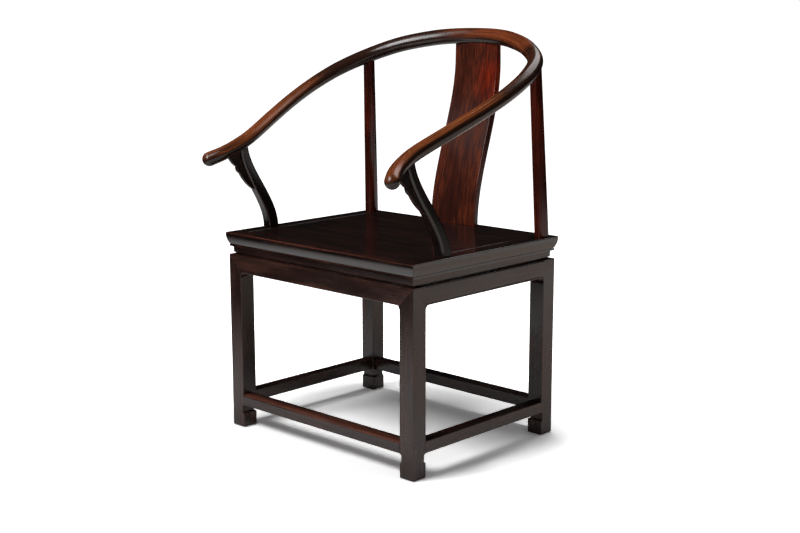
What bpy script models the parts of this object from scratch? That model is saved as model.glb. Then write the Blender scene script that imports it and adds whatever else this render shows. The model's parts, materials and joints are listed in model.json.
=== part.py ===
"""Horseshoe back armchair in dark polished hardwood.

Every separate piece of wood is its own object.  The chair faces -Y, +X is the sitter's left and
+Z is up.  It is built with the middle of the seat frame over the origin, then moved back or forward
until the origin is on the floor under the middle of the whole chair.  Sizes are in metres.
"""
import math

import bmesh
import bpy
from mathutils import Matrix, Vector

# Fits
CLEARANCE = 0.0003
OVERRUN = 0.010
ROOT = 0.004
WELD = 0.00001

# Seat frame, outer size and height of its top face
SEAT_WIDTH = 0.643
SEAT_DEPTH = 0.520
SEAT_HEIGHT = 0.500
FRAME_THICKNESS = 0.035
FRAME_WIDTH = 0.042
FRAME_EDGE_INSET = 0.0066
FRAME_EDGE_FLAT = 0.008
FRAME_EDGE_LIP = 0.003
FRAME_EDGE_BULGE = 1.3
FRAME_EDGE_STEPS = 6
FRAME_ARRIS = 0.0012
FRAME_TENON_OUT = 0.012
FRAME_TENON_WIDTH = 0.014
FRAME_TENON_THICKNESS = 0.010
FRAME_TENON_LIFT = 0.005

# Seat boards and the battens under them
BOARD_THICKNESS = 0.012
BOARD_TONGUE = 0.006
BOARD_TONGUE_THICKNESS = 0.004
BOARD_TONGUE_DROP = 0.004
BATTEN_WIDTH = 0.026
BATTEN_DEPTH = 0.014
BATTEN_DOVETAIL = 0.003
BATTEN_DOVETAIL_SPREAD = 0.0015
BATTEN_TENON = 0.008
BATTEN_TENON_HEIGHT = 0.009
BATTEN_SPREAD = 0.270

# Waist between the seat frame and the aprons
WAIST_INSET = 0.0138
WAIST_THICKNESS = 0.010
WAIST_HEIGHT = 0.0205
WAIST_DRAFT = 0.0008
WAIST_TONGUE = 0.003
WAIST_TONGUE_THICKNESS = 0.003
WAIST_SHADOW_HEIGHT = 0.003
WAIST_SHADOW_DEPTH = 0.002

# Legs and aprons
LEG_INSET = 0.006
LEG_SIDE = 0.0425
LEG_ARRIS = 0.0015
LEG_TENON_SIDE = 0.011
LEG_TENON_LENGTH = 0.012
LEG_TENON_INSET = 0.0285
APRON_HEIGHT = 0.043
APRON_THICKNESS = 0.014
APRON_SHOULDER = 0.003
APRON_CORNER = 0.007
APRON_BEAD = 0.003
APRON_BEAD_PROUD = 0.0008
APRON_TENON_THICKNESS = 0.006
APRON_TENON_REACH = 0.018
APRON_TENON_LIFT = 0.008
APRON_TENON_HEIGHT = 0.018
HOOF_HEIGHT = 0.036
HOOF_NOTCH = 0.005
HOOF_NOTCH_SOFTNESS = 0.006
HOOF_EDGE = 0.004

# Stretchers, all four at one level
STRETCHER_TOP = 0.0865
STRETCHER_HEIGHT = 0.028
STRETCHER_WIDTH = 0.033
STRETCHER_ARRIS = 0.0012
STRETCHER_WEAR = 0.006
STRETCHER_TENON = 0.014
STRETCHER_TENON_THICKNESS = 0.012
STRETCHER_TENON_HEIGHT = 0.017

# Round rail: a horseshoe in plan that falls from the crest to two hand grips
RAIL_HALF_WIDTH = 0.325
RAIL_BACK_REACH = 0.327
RAIL_FRONT_REACH = 0.3265
GRIP_HEIGHT = 0.681
CREST_HEIGHT = 0.9766
RAIL_ARM_RADIUS = 0.0170
RAIL_CREST_RADIUS = 0.0200
GRIP_RADIUS = 0.0178
# From grip to crest: share of the half width, of the reach forward or back, and of the rise
RAIL_STATION_SHARES = (
    (0.980, -1.000, 0.000),
    (0.956, -0.963, 0.019),
    (0.889, -0.858, 0.074),
    (0.859, -0.732, 0.140),
    (0.864, -0.606, 0.205),
    (0.922, -0.357, 0.332),
    (0.975, -0.106, 0.457),
    (0.999, 0.147, 0.581),
    (0.971, 0.400, 0.705),
    (0.865, 0.635, 0.818),
    (0.656, 0.798, 0.916),
    (0.408, 0.914, 0.974),
    (0.208, 0.976, 0.995),
    (0.000, 1.000, 1.000),
)
RAIL_SWELL_START_SHARE = 0.35
RAIL_SWELL_END_SHARE = 0.85
GRIP_SWELL_SHARE = 0.09
RAIL_STEPS = 48
DOME_STEPS = 5
ROUND_RESOLUTION = 6

# Scarf joint of the rail, over each back post, with its lap along the rail
SCARF_SHARE = 0.685
SCARF_LENGTH = 0.044
SCARF_COG = 0.004
SCARF_COG_WIDTH = 0.010
SCARF_COG_HEIGHT = 0.004
SCARF_COG_LIFT = 0.004
SCARF_PIN_SIDE = 0.007
SCARF_PIN_TAPER = 0.001
SCARF_PIN_LENGTH = 0.035

# Posts between the seat frame and the rail
POST_TENON_DEPTH = 0.0135
ARM_POST_BASE_SIDE = 0.0300
ARM_POST_TOP_SIDE = 0.0235
ARM_POST_EDGE = 0.0060
ARM_POST_INSET = 0.0275
ARM_POST_FORWARD = 0.1330
ARM_POST_SHARE = 0.1215
ARM_POST_TOP_OUT = 0.0022
ARM_POST_TENON = 0.011
ARM_POST_RAIL_TENON = 0.010
ARM_POST_STEPS = 18
BACK_POST_INSET = 0.0288
BACK_POST_BACK_INSET = 0.0305
BACK_POST_SHARE = 0.658
BACK_POST_BASE_RADIUS = 0.0174
BACK_POST_TOP_RADIUS = 0.0146
BACK_POST_TENON = 0.012
RAIL_TENON_DEPTH = 0.008

# Carved bracket in the angle between arm post and rail
BRACKET_THICKNESS = 0.010
BRACKET_TONGUE = 0.003
BRACKET_REACH = 0.040
BRACKET_DROP = 0.124
BRACKET_LOBE_STEPS = 6
BRACKET_INNER_STEPS = 5
# Cusps from the rail end down to the post end: share of the reach and of the drop
BRACKET_CUSP_SHARES = ((1.000, 0.266), (0.387, 0.485), (0.110, 0.627), (-1.050, 1.000))
BRACKET_BULGE_SHARES = (0.077, 0.153, 0.065)

# Back splat: a plain board with a lengthwise sweep
SPLAT_BASE_WIDTH = 0.149
SPLAT_TOP_WIDTH = 0.140
SPLAT_END_THICKNESS = 0.0155
SPLAT_MIDDLE_THICKNESS = 0.0195
SPLAT_EDGE = 0.002
SPLAT_BACK_INSET = 0.0215
SPLAT_SWEEP_START_SHARE = 0.010
SPLAT_SWEEP_END_SHARE = 0.870
SPLAT_STEPS = 20
SPLAT_TONGUE_THICKNESS = 0.007
SPLAT_TONGUE_WIDTH = 0.110
SPLAT_TONGUE_DEPTH = 0.012
SPLAT_RAIL_TONGUE_WIDTH = 0.090
SPLAT_RAIL_TONGUE_DEPTH = 0.009

# Colours
DARK_WOOD = (0.030, 0.017, 0.014, 1.0)
RED_WOOD = (0.085, 0.022, 0.014, 1.0)
WORN_WOOD = (0.150, 0.055, 0.024, 1.0)
POLISH = 0.28

# Places worked out from the sizes above
HALF_WIDTH = SEAT_WIDTH / 2
HALF_DEPTH = SEAT_DEPTH / 2
FRAME_BOTTOM = SEAT_HEIGHT - FRAME_THICKNESS
FRAME_MIDDLE = FRAME_WIDTH / 2
APRON_TOP = FRAME_BOTTOM - WAIST_HEIGHT
APRON_BOTTOM = APRON_TOP - APRON_HEIGHT
LEG_INNER = LEG_INSET + LEG_SIDE
STRETCHER_BOTTOM = STRETCHER_TOP - STRETCHER_HEIGHT
STRETCHER_CENTRE = LEG_INSET + STRETCHER_WIDTH / 2
RIGHT = 1
LEFT = -1
BACK = 1
FRONT = -1


def clear_scene():
    """Starts from an empty file."""
    for thing in list(bpy.data.objects):
        bpy.data.objects.remove(thing, do_unlink=True)


def make_collection(name):
    """A collection under the scene."""
    found = bpy.data.collections.new(name)
    bpy.context.scene.collection.children.link(found)
    return found


def make_material(name, colour):
    """One polished wood."""
    material = bpy.data.materials.new(name)
    material.use_nodes = True
    shader = material.node_tree.nodes["Principled BSDF"]
    shader.inputs["Base Color"].default_value = colour
    shader.inputs["Roughness"].default_value = POLISH
    shader.inputs["Metallic"].default_value = 0.0
    return material


def object_from_mesh(name, mesh):
    """Puts a mesh in the scene as a tool, until it is finished as a part."""
    item = bpy.data.objects.new(name, mesh)
    TOOLS.objects.link(item)
    item.hide_render = True
    item.display_type = "WIRE"
    return item


def object_from_bmesh(name, bm):
    """Turns an edit mesh into an object with its faces pointing out."""
    bmesh.ops.recalc_face_normals(bm, faces=bm.faces)
    mesh = bpy.data.meshes.new(name)
    bm.to_mesh(mesh)
    bm.free()
    return object_from_mesh(name, mesh)


def evaluated_mesh(item):
    """The mesh of an object after its modifiers."""
    bpy.context.view_layer.update()
    graph = bpy.context.evaluated_depsgraph_get()
    return bpy.data.meshes.new_from_object(item.evaluated_get(graph))


def finish(item, colour):
    """Moves a finished piece from the tools to the chair and gives it its wood."""
    TOOLS.objects.unlink(item)
    CHAIR.objects.link(item)
    item.hide_render = False
    item.display_type = "TEXTURED"
    item.data.materials.clear()
    item.data.materials.append(make_material(item.name + "_wood", colour))
    return item


def combine(target, tool, operation):
    """Cuts a tool out of a piece, or joins it on."""
    modifier = target.modifiers.new(tool.name, "BOOLEAN")
    modifier.object = tool
    modifier.operation = operation
    modifier.solver = "EXACT"


def cut(target, *tools):
    """Cuts tools out of a piece."""
    for tool in tools:
        combine(target, tool, "DIFFERENCE")


def join(target, *tools):
    """Joins tools to a piece."""
    for tool in tools:
        combine(target, tool, "UNION")


def mirrored(source, name, side=RIGHT, end=BACK):
    """A copy of a finished or unfinished piece on another side or end of the chair."""
    mesh = evaluated_mesh(source)
    mesh.transform(Matrix.Diagonal((side, end, 1, 1)))
    if side * end < 0:
        mesh.flip_normals()
    return object_from_mesh(name, mesh)


def box(name, low, high, grow=0.0):
    """A box between two corners, grown on every side."""
    bm = bmesh.new()
    bmesh.ops.create_cube(bm, size=1.0)
    low = Vector(low) - Vector((grow, grow, grow))
    high = Vector(high) + Vector((grow, grow, grow))
    middle = (low + high) / 2
    for vert in bm.verts:
        vert.co = Vector(share * size for share, size in zip(vert.co, high - low)) + middle
    return object_from_bmesh(name, bm)


def curve_to_piece(name, curve, place):
    """Makes a welded mesh of a curve, puts it in place and removes the curve."""
    holder = bpy.data.objects.new(name + "_curve", curve)
    TOOLS.objects.link(holder)
    mesh = evaluated_mesh(holder)
    bpy.data.objects.remove(holder, do_unlink=True)
    bm = bmesh.new()
    bm.from_mesh(mesh)
    bmesh.ops.remove_doubles(bm, verts=bm.verts, dist=WELD)
    bmesh.ops.transform(bm, matrix=place, verts=bm.verts)
    return object_from_bmesh(name, bm)


def plate(name, outline, thickness, place):
    """A flat outline with a thickness, as a piece in place."""
    curve = bpy.data.curves.new(name, "CURVE")
    curve.dimensions = "2D"
    curve.fill_mode = "BOTH"
    curve.extrude = thickness / 2
    spline = curve.splines.new("POLY")
    spline.points.add(len(outline) - 1)
    for point, (across, up) in zip(spline.points, outline):
        point.co = (across, up, 0, 1)
    spline.use_cyclic_u = True
    piece = curve_to_piece(name, curve, place)
    bm = bmesh.new()
    bm.from_mesh(piece.data)
    bmesh.ops.dissolve_limit(bm, angle_limit=math.radians(0.5), verts=bm.verts, edges=bm.edges)
    bm.to_mesh(piece.data)
    bm.free()
    return piece


def tube(name, points, radii):
    """A round bar through points, with a radius at each."""
    curve = bpy.data.curves.new(name, "CURVE")
    curve.dimensions = "3D"
    curve.bevel_depth = RAIL_CREST_RADIUS
    curve.bevel_resolution = ROUND_RESOLUTION
    curve.use_fill_caps = True
    spline = curve.splines.new("POLY")
    spline.points.add(len(points) - 1)
    for point, place, radius in zip(spline.points, points, radii):
        point.co = (*place, 1)
        point.radius = radius / RAIL_CREST_RADIUS
    piece = curve_to_piece(name, curve, Matrix.Identity(4))
    piece.data.shade_smooth()
    piece.data.set_sharp_from_angle(angle=math.radians(40))
    return piece


def smooth_step(share):
    """Rises from 0 to 1 with a level start and end."""
    share = min(max(share, 0.0), 1.0)
    return share * share * (3 - 2 * share)


def mix(start, end, share):
    """A value or point between two others."""
    return start + (end - start) * share


def catmull_rom(before, start, end, after, share):
    """A point on the smooth curve between two stations."""
    return 0.5 * (
        2 * start
        + (end - before) * share
        + (2 * before - 5 * start + 4 * end - after) * share ** 2
        + (3 * start - before - 3 * end + after) * share ** 3
    )


def rail_stations():
    """Stations of the rail's centre line from the right grip to the left one."""
    half = []
    for width_share, reach_share, rise_share in RAIL_STATION_SHARES:
        reach = RAIL_BACK_REACH if reach_share > 0 else RAIL_FRONT_REACH
        rise = mix(GRIP_HEIGHT, CREST_HEIGHT, rise_share)
        half.append(Vector((width_share * RAIL_HALF_WIDTH, reach_share * reach, rise)))
    other = [Vector((-point.x, point.y, point.z)) for point in reversed(half[:-1])]
    return half + other


def rail_line():
    """Fine points of the rail's centre line with the length up to each."""
    stations = rail_stations()
    padded = [2 * stations[0] - stations[1]] + stations + [2 * stations[-1] - stations[-2]]
    points = []
    for index in range(len(stations) - 1):
        for step in range(RAIL_STEPS):
            points.append(catmull_rom(*padded[index:index + 4], step / RAIL_STEPS))
    points.append(stations[-1])
    lengths = [0.0]
    for start, end in zip(points, points[1:]):
        lengths.append(lengths[-1] + (end - start).length)
    return points, lengths


def rail_at(share):
    """Point of the rail at a share of its half length: 0 right grip, 1 crest, 2 left grip."""
    points, lengths = RAIL_LINE
    target = share * lengths[-1] / 2
    for index in range(len(points) - 1):
        if lengths[index + 1] >= target:
            break
    span = lengths[index + 1] - lengths[index]
    return mix(points[index], points[index + 1], (target - lengths[index]) / span)


def rail_radius(share):
    """Radius of the rail at a share of its half length."""
    share = min(share, 2 - share)
    swell_span = RAIL_SWELL_END_SHARE - RAIL_SWELL_START_SHARE
    swell = smooth_step((share - RAIL_SWELL_START_SHARE) / swell_span)
    grip = smooth_step(1 - share / GRIP_SWELL_SHARE)
    arm = mix(RAIL_ARM_RADIUS, GRIP_RADIUS, grip)
    return mix(arm, RAIL_CREST_RADIUS, swell)


def rail_tube(name, start_share, end_share, grow=0.0):
    """A length of the rail, domed where it starts at the right grip."""
    half_length = RAIL_LINE[1][-1] / 2
    shares = []
    radii = []
    if start_share == 0:
        for step in range(1, DOME_STEPS + 1):
            angle = math.radians(90) * step / (DOME_STEPS + 1)
            shares.append(GRIP_RADIUS * (1 - math.cos(angle)) / half_length)
            radii.append(rail_radius(shares[-1]) * math.sin(angle) + grow)
        start_share = GRIP_RADIUS / half_length
    count = max(2, round(abs(end_share - start_share) * RAIL_STEPS))
    for step in range(count + 1):
        shares.append(mix(start_share, end_share, step / count))
        radii.append(rail_radius(shares[-1]) + grow)
    return tube(name, [rail_at(share) for share in shares], radii)


def scarf_place():
    """Matrix of the scarf joint on the right: X along the rail, Y across it, Z up."""
    step_share = SCARF_LENGTH / RAIL_LINE[1][-1]
    centre = rail_at(SCARF_SHARE)
    along = (rail_at(SCARF_SHARE + step_share) - rail_at(SCARF_SHARE - step_share)).normalized()
    across = Vector((0, 0, 1)).cross(along).normalized()
    up = along.cross(across)
    place = Matrix.Translation(centre)
    place.col[0].xyz = along
    place.col[1].xyz = across
    place.col[2].xyz = up
    return place


def turned(tool, place):
    """Moves a tool's mesh by a matrix."""
    tool.data.transform(place)
    return tool


def scarf_pin(name, grow=0.0):
    """Tapered square key driven across the lap of the scarf joint."""
    side = SCARF_PIN_SIDE / 2
    length = SCARF_PIN_LENGTH / 2
    pin = box(name, (-side, -length, -side), (side, length, side), grow)
    for vert in pin.data.vertices:
        if vert.co.y > 0:
            vert.co.x -= math.copysign(SCARF_PIN_TAPER / 2, vert.co.x)
            vert.co.z -= math.copysign(SCARF_PIN_TAPER / 2, vert.co.z)
    return turned(pin, scarf_place())


def scarf_cog(name, end, grow=0.0):
    """Small stub at the tip of a lap, on the crest piece's tip for end -1."""
    tip = end * (SCARF_LENGTH / 2 + SCARF_COG)
    root = end * (SCARF_LENGTH / 2 - ROOT)
    near = end * SCARF_COG_LIFT
    far = end * (SCARF_COG_LIFT + SCARF_COG_HEIGHT)
    half = SCARF_COG_WIDTH / 2
    low = (min(tip, root), -half, min(near, far))
    high = (max(tip, root), half, max(near, far))
    return turned(box(name, low, high, grow), scarf_place())


def scarf_waste(name, end):
    """What the lap removes from the arm (end 1) or from the crest (end -1)."""
    gap = CLEARANCE / 2
    reach = RAIL_CREST_RADIUS + OVERRUN
    lap = SCARF_LENGTH / 2
    far = lap + reach
    outline = [
        (-lap - gap, -reach),
        (-lap - gap, gap),
        (lap - gap, gap),
        (lap - gap, reach),
        (far, reach),
        (far, -reach),
    ]
    outline = [(along * end, up * end) for along, up in outline]
    stand = Matrix.Rotation(math.radians(90), 4, "X")
    return turned(plate(name, outline, 2 * reach, stand), scarf_place())


def mitred_bar(name, outline, length, end_cut, place):
    """A bar of constant section with ends mitred for a picture frame corner.

    The outline is (depth in from the outer face, height); the bar runs along X.
    """
    stand = Matrix(((0, 0, 1, 0), (1, 0, 0, 0), (0, 1, 0, 0), (0, 0, 0, 1)))
    bar = plate(name, outline, length, stand)
    for vert in bar.data.vertices:
        reach = length / 2 - vert.co.y - end_cut
        vert.co.x = math.copysign(reach, vert.co.x)
    return turned(bar, place)


def front_place():
    """Puts a bar's outer face on the front edge of the seat."""
    return Matrix.Translation((0, -HALF_DEPTH, 0))


def right_place():
    """Puts a bar's outer face on the right edge of the seat."""
    return Matrix.Translation((HALF_WIDTH, 0, 0)) @ Matrix.Rotation(math.radians(90), 4, "Z")


def frame_outline():
    """Section of a seat frame member: moulded edge, board groove and waist groove."""
    top = SEAT_HEIGHT
    fall = FRAME_THICKNESS - FRAME_EDGE_FLAT - FRAME_EDGE_LIP
    outline = [(FRAME_ARRIS, top), (0, top - FRAME_ARRIS)]
    for step in range(FRAME_EDGE_STEPS + 1):
        share = step / FRAME_EDGE_STEPS
        depth = FRAME_EDGE_INSET * share ** FRAME_EDGE_BULGE
        outline.append((depth, top - FRAME_EDGE_FLAT - fall * share))
    outline.append((FRAME_EDGE_INSET, FRAME_BOTTOM))
    waist_out = WAIST_INSET + (WAIST_THICKNESS - WAIST_TONGUE_THICKNESS) / 2 - CLEARANCE
    waist_in = waist_out + WAIST_TONGUE_THICKNESS + 2 * CLEARANCE
    waist_top = FRAME_BOTTOM + WAIST_TONGUE + CLEARANCE
    outline += [
        (waist_out, FRAME_BOTTOM),
        (waist_out, waist_top),
        (waist_in, waist_top),
        (waist_in, FRAME_BOTTOM),
        (FRAME_WIDTH, FRAME_BOTTOM),
    ]
    groove_top = top - BOARD_TONGUE_DROP + CLEARANCE
    groove_bottom = top - BOARD_TONGUE_DROP - BOARD_TONGUE_THICKNESS - CLEARANCE
    groove_in = FRAME_WIDTH - BOARD_TONGUE - CLEARANCE
    outline += [
        (FRAME_WIDTH, groove_bottom),
        (groove_in, groove_bottom),
        (groove_in, groove_top),
        (FRAME_WIDTH, groove_top),
        (FRAME_WIDTH, top),
    ]
    return outline


def corner_tenon(name, grow=0.0):
    """Tenon of the right frame member into the front one."""
    low = (
        HALF_WIDTH - FRAME_TENON_OUT - FRAME_TENON_WIDTH,
        -HALF_DEPTH + FRAME_TENON_OUT,
        FRAME_BOTTOM + FRAME_TENON_LIFT,
    )
    high = (
        HALF_WIDTH - FRAME_TENON_OUT,
        -HALF_DEPTH + FRAME_WIDTH,
        FRAME_BOTTOM + FRAME_TENON_LIFT + FRAME_TENON_THICKNESS,
    )
    return box(name, low, high, grow)


def leg_tenon(name, grow=0.0):
    """Tenon of the front right leg into the corner of the frame."""
    out = LEG_TENON_INSET
    inner = out + LEG_TENON_SIDE
    low = (HALF_WIDTH - inner, -HALF_DEPTH + out, FRAME_BOTTOM - ROOT)
    high = (HALF_WIDTH - out, -HALF_DEPTH + inner, FRAME_BOTTOM + LEG_TENON_LENGTH)
    return box(name, low, high, grow)


def standing_tenon(name, x, y, side, grow=0.0):
    """Square tenon under a post, into the seat frame."""
    half = side / 2
    low = (x - half, y - half, SEAT_HEIGHT - POST_TENON_DEPTH)
    high = (x + half, y + half, SEAT_HEIGHT + ROOT)
    return box(name, low, high, grow)


def batten_line(side):
    """Middle of a batten across the seat."""
    return side * BATTEN_SPREAD / 2


def batten_tenon(name, side, grow=0.0):
    """Both end tenons of a batten as one long bar."""
    half = BATTEN_WIDTH / 2 - FRAME_ARRIS
    reach = HALF_DEPTH - FRAME_WIDTH + BATTEN_TENON
    low_z = SEAT_HEIGHT - BOARD_THICKNESS - BATTEN_DEPTH
    middle = batten_line(side)
    low = (middle - half, -reach, low_z)
    high = (middle + half, reach, low_z + BATTEN_TENON_HEIGHT)
    return box(name, low, high, grow)


def splat_tongue(name, grow=0.0):
    """Tongue at the foot of the splat."""
    half = SPLAT_TONGUE_WIDTH / 2
    thick = SPLAT_TONGUE_THICKNESS / 2
    middle = HALF_DEPTH - SPLAT_BACK_INSET
    low = (-half, middle - thick, SEAT_HEIGHT - SPLAT_TONGUE_DEPTH)
    high = (half, middle + thick, SEAT_HEIGHT + ROOT)
    return box(name, low, high, grow)


def arm_post_base():
    """Middle of the right arm post on the seat."""
    return Vector((HALF_WIDTH - ARM_POST_INSET, -ARM_POST_FORWARD, SEAT_HEIGHT))


def back_post_base():
    """Middle of the right back post on the seat."""
    place = (HALF_WIDTH - BACK_POST_INSET, HALF_DEPTH - BACK_POST_BACK_INSET, SEAT_HEIGHT)
    return Vector(place)


def arm_post_tenon(name, grow=0.0):
    """Tenon under the right arm post."""
    base = arm_post_base()
    return standing_tenon(name, base.x, base.y, ARM_POST_TENON, grow)


def back_post_tenon(name, grow=0.0):
    """Tenon under the right back post."""
    base = back_post_base()
    return standing_tenon(name, base.x, base.y, BACK_POST_TENON, grow)


def arm_post_top():
    """Top of the right arm post inside the rail."""
    return rail_at(ARM_POST_SHARE) + Vector((ARM_POST_TOP_OUT, 0, 0))


def rail_tenon(name, top, share, side, grow=0.0):
    """Square tenon on top of a post, into the underside of the rail."""
    half = side / 2
    under = top.z - rail_radius(share)
    low = (top.x - half, top.y - half, under - ROOT)
    high = (top.x + half, top.y + half, under + RAIL_TENON_DEPTH)
    return box(name, low, high, grow)


def arm_post_top_tenon(name, grow=0.0):
    """Tenon of the right arm post into the rail."""
    return rail_tenon(name, arm_post_top(), ARM_POST_SHARE, ARM_POST_RAIL_TENON, grow)


def back_post_top_tenon(name, grow=0.0):
    """Tenon of the right back post into both rail sections at the scarf."""
    return rail_tenon(name, rail_at(BACK_POST_SHARE), BACK_POST_SHARE, BACK_POST_TENON, grow)


def make_frame():
    """Four mitred seat frame members with their mortises."""
    mitre = CLEARANCE * math.sqrt(0.5)
    outline = frame_outline()
    front = mitred_bar("seat_rail_front", outline, SEAT_WIDTH, mitre, front_place())
    right = mitred_bar("seat_rail_right", outline, SEAT_DEPTH, mitre, right_place())
    mortise = corner_tenon("corner_mortise", CLEARANCE)
    leg_mortise = leg_tenon("leg_mortise", CLEARANCE)
    tenon = corner_tenon("corner_tenon")
    cut(front, mortise, mirrored(mortise, "corner_mortise_left", side=LEFT))
    cut(front, leg_mortise, mirrored(leg_mortise, "leg_mortise_left", side=LEFT))
    for side, label in ((RIGHT, "right"), (LEFT, "left")):
        cut(front, batten_tenon("batten_mortise_" + label, side, CLEARANCE))
    back = mirrored(front, "seat_rail_back", end=FRONT)
    post_mortise = back_post_tenon("back_post_mortise", CLEARANCE)
    cut(back, post_mortise, mirrored(post_mortise, "back_post_mortise_left", side=LEFT))
    cut(back, splat_tongue("splat_mortise", CLEARANCE))
    cut(right, leg_mortise, mirrored(leg_mortise, "leg_mortise_back", end=FRONT))
    join(right, tenon, mirrored(tenon, "corner_tenon_back", end=FRONT))
    cut(right, arm_post_tenon("arm_post_mortise", CLEARANCE), post_mortise)
    left = mirrored(right, "seat_rail_left", side=LEFT)
    for member in (front, back, right, left):
        finish(member, DARK_WOOD)


def batten_outline(grow=0.0):
    """Section of a batten: a bar with a dovetail let into the boards."""
    half = BATTEN_WIDTH / 2 + grow
    neck = half - FRAME_ARRIS - BATTEN_DOVETAIL_SPREAD
    head = half - FRAME_ARRIS
    top = SEAT_HEIGHT - BOARD_THICKNESS
    return [
        (-half, top - BATTEN_DEPTH - grow),
        (half, top - BATTEN_DEPTH - grow),
        (half, top - CLEARANCE + grow),
        (neck, top - CLEARANCE + grow),
        (head, top + BATTEN_DOVETAIL + grow),
        (-head, top + BATTEN_DOVETAIL + grow),
        (-neck, top - CLEARANCE + grow),
        (-half, top - CLEARANCE + grow),
    ]


def batten_bar(name, side, grow=0.0):
    """A batten between the front and back frame members."""
    length = SEAT_DEPTH - 2 * FRAME_WIDTH - 2 * CLEARANCE + 2 * grow
    stand = Matrix.Translation((batten_line(side), 0, 0)) @ Matrix.Rotation(math.radians(90), 4, "X")
    return plate(name, batten_outline(grow), length, stand)


def make_battens():
    """Two battens that tie the boards and the frame together under the seat."""
    right = batten_bar("seat_batten_right", RIGHT)
    join(right, batten_tenon("batten_tenon_right", RIGHT))
    left = mirrored(right, "seat_batten_left", side=LEFT)
    finish(right, DARK_WOOD)
    finish(left, DARK_WOOD)


def board(name, end):
    """One seat board: butted at its top, with a tongue all round below it."""
    inner_x = HALF_WIDTH - FRAME_WIDTH - CLEARANCE
    inner_y = HALF_DEPTH - FRAME_WIDTH - CLEARANCE
    joint = end * CLEARANCE / 2
    tongue_x = inner_x + BOARD_TONGUE
    outer = end * inner_y
    tongue_y = end * (inner_y + BOARD_TONGUE)
    tongue_top = SEAT_HEIGHT - BOARD_TONGUE_DROP
    low = (-inner_x, min(joint, outer), SEAT_HEIGHT - BOARD_THICKNESS)
    high = (inner_x, max(joint, outer), SEAT_HEIGHT)
    piece = box(name, low, high)
    root = joint + end * ROOT
    low = (-tongue_x, min(root, tongue_y), tongue_top - BOARD_TONGUE_THICKNESS)
    high = (tongue_x, max(root, tongue_y), tongue_top)
    join(piece, box(name + "_tongue", low, high))
    return piece


def joint_tongue(name, grow=0.0):
    """Tongue of the front board into the back one."""
    inner_x = HALF_WIDTH - FRAME_WIDTH - CLEARANCE - BOARD_TONGUE
    top = SEAT_HEIGHT - BOARD_TONGUE_DROP
    low = (-inner_x, -ROOT, top - BOARD_TONGUE_THICKNESS)
    high = (inner_x, BOARD_TONGUE, top)
    return box(name, low, high, grow)


def make_boards():
    """Two floating boards that fill the frame, joined along the middle of the seat."""
    front = board("seat_board_front", FRONT)
    back = board("seat_board_back", BACK)
    join(front, joint_tongue("board_joint_tongue"))
    cut(back, joint_tongue("board_joint_groove", CLEARANCE))
    for side, label in ((RIGHT, "right"), (LEFT, "left")):
        groove = batten_bar("batten_groove_" + label, side, CLEARANCE)
        cut(front, groove)
        cut(back, groove)
    finish(front, DARK_WOOD)
    finish(back, DARK_WOOD)


def waist_outline():
    """Section of a waist strip: drawn-in face, shadow groove at its foot and a tongue on top."""
    bottom = APRON_TOP + CLEARANCE
    top = FRAME_BOTTOM - CLEARANCE
    shadow = bottom + WAIST_SHADOW_HEIGHT
    foot = WAIST_INSET + WAIST_DRAFT
    tongue_out = WAIST_INSET + (WAIST_THICKNESS - WAIST_TONGUE_THICKNESS) / 2
    tongue_in = tongue_out + WAIST_TONGUE_THICKNESS
    inner = WAIST_INSET + WAIST_THICKNESS
    return [
        (foot + WAIST_SHADOW_DEPTH, bottom),
        (foot + WAIST_SHADOW_DEPTH, shadow),
        (foot, shadow),
        (WAIST_INSET, top),
        (tongue_out, top),
        (tongue_out, top + WAIST_TONGUE),
        (tongue_in, top + WAIST_TONGUE),
        (tongue_in, top),
        (inner, top),
        (inner, bottom),
    ]


def make_waist():
    """Four mitred strips between the seat frame and the aprons."""
    mitre = CLEARANCE * math.sqrt(0.5)
    outline = waist_outline()
    front = mitred_bar("waist_front", outline, SEAT_WIDTH, mitre, front_place())
    right = mitred_bar("waist_right", outline, SEAT_DEPTH, mitre, right_place())
    back = mirrored(front, "waist_back", end=FRONT)
    left = mirrored(right, "waist_left", side=LEFT)
    for strip in (front, back, right, left):
        finish(strip, DARK_WOOD)


def apron_outline(grow=0.0):
    """Section of an apron: softened shoulder at the top and a bead along the lower edge."""
    steps = 3
    face = LEG_INSET - grow
    inner = LEG_INSET + APRON_THICKNESS + grow
    top = APRON_TOP + grow
    bottom = APRON_BOTTOM - grow
    outline = [(inner, bottom), (inner, top)]
    for step in range(steps + 1):
        angle = math.radians(90) * step / steps
        outline.append((
            face + APRON_SHOULDER * (1 - math.sin(angle)),
            top - APRON_SHOULDER * (1 - math.cos(angle)),
        ))
    proud = face - APRON_BEAD_PROUD
    outline += [
        (face, bottom + APRON_BEAD),
        (proud, bottom + APRON_BEAD - APRON_BEAD_PROUD),
        (proud, bottom + APRON_BEAD_PROUD),
        (face, bottom),
    ]
    return outline


def apron_end_waste(name, half_outer, gap):
    """What the slanting mitre of a leg removes at the +X end of a bar along X.

    The slant runs from the leg's inner edge at the foot of the apron to its outer arris at the top.
    """
    inner = half_outer - LEG_INNER - gap
    outer = half_outer - LEG_INSET - gap
    rise = (outer - inner) / APRON_HEIGHT
    under = APRON_BOTTOM - APRON_CORNER - OVERRUN
    over = APRON_TOP + OVERRUN
    outline = [
        (inner, APRON_BOTTOM),
        (inner, under),
        (half_outer + OVERRUN, under),
        (half_outer + OVERRUN, over),
        (outer + rise * OVERRUN, over),
    ]
    deep = 2 * (LEG_INNER + OVERRUN)
    stand = Matrix.Rotation(math.radians(90), 4, "X")
    return plate(name, outline, deep, stand)


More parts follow.
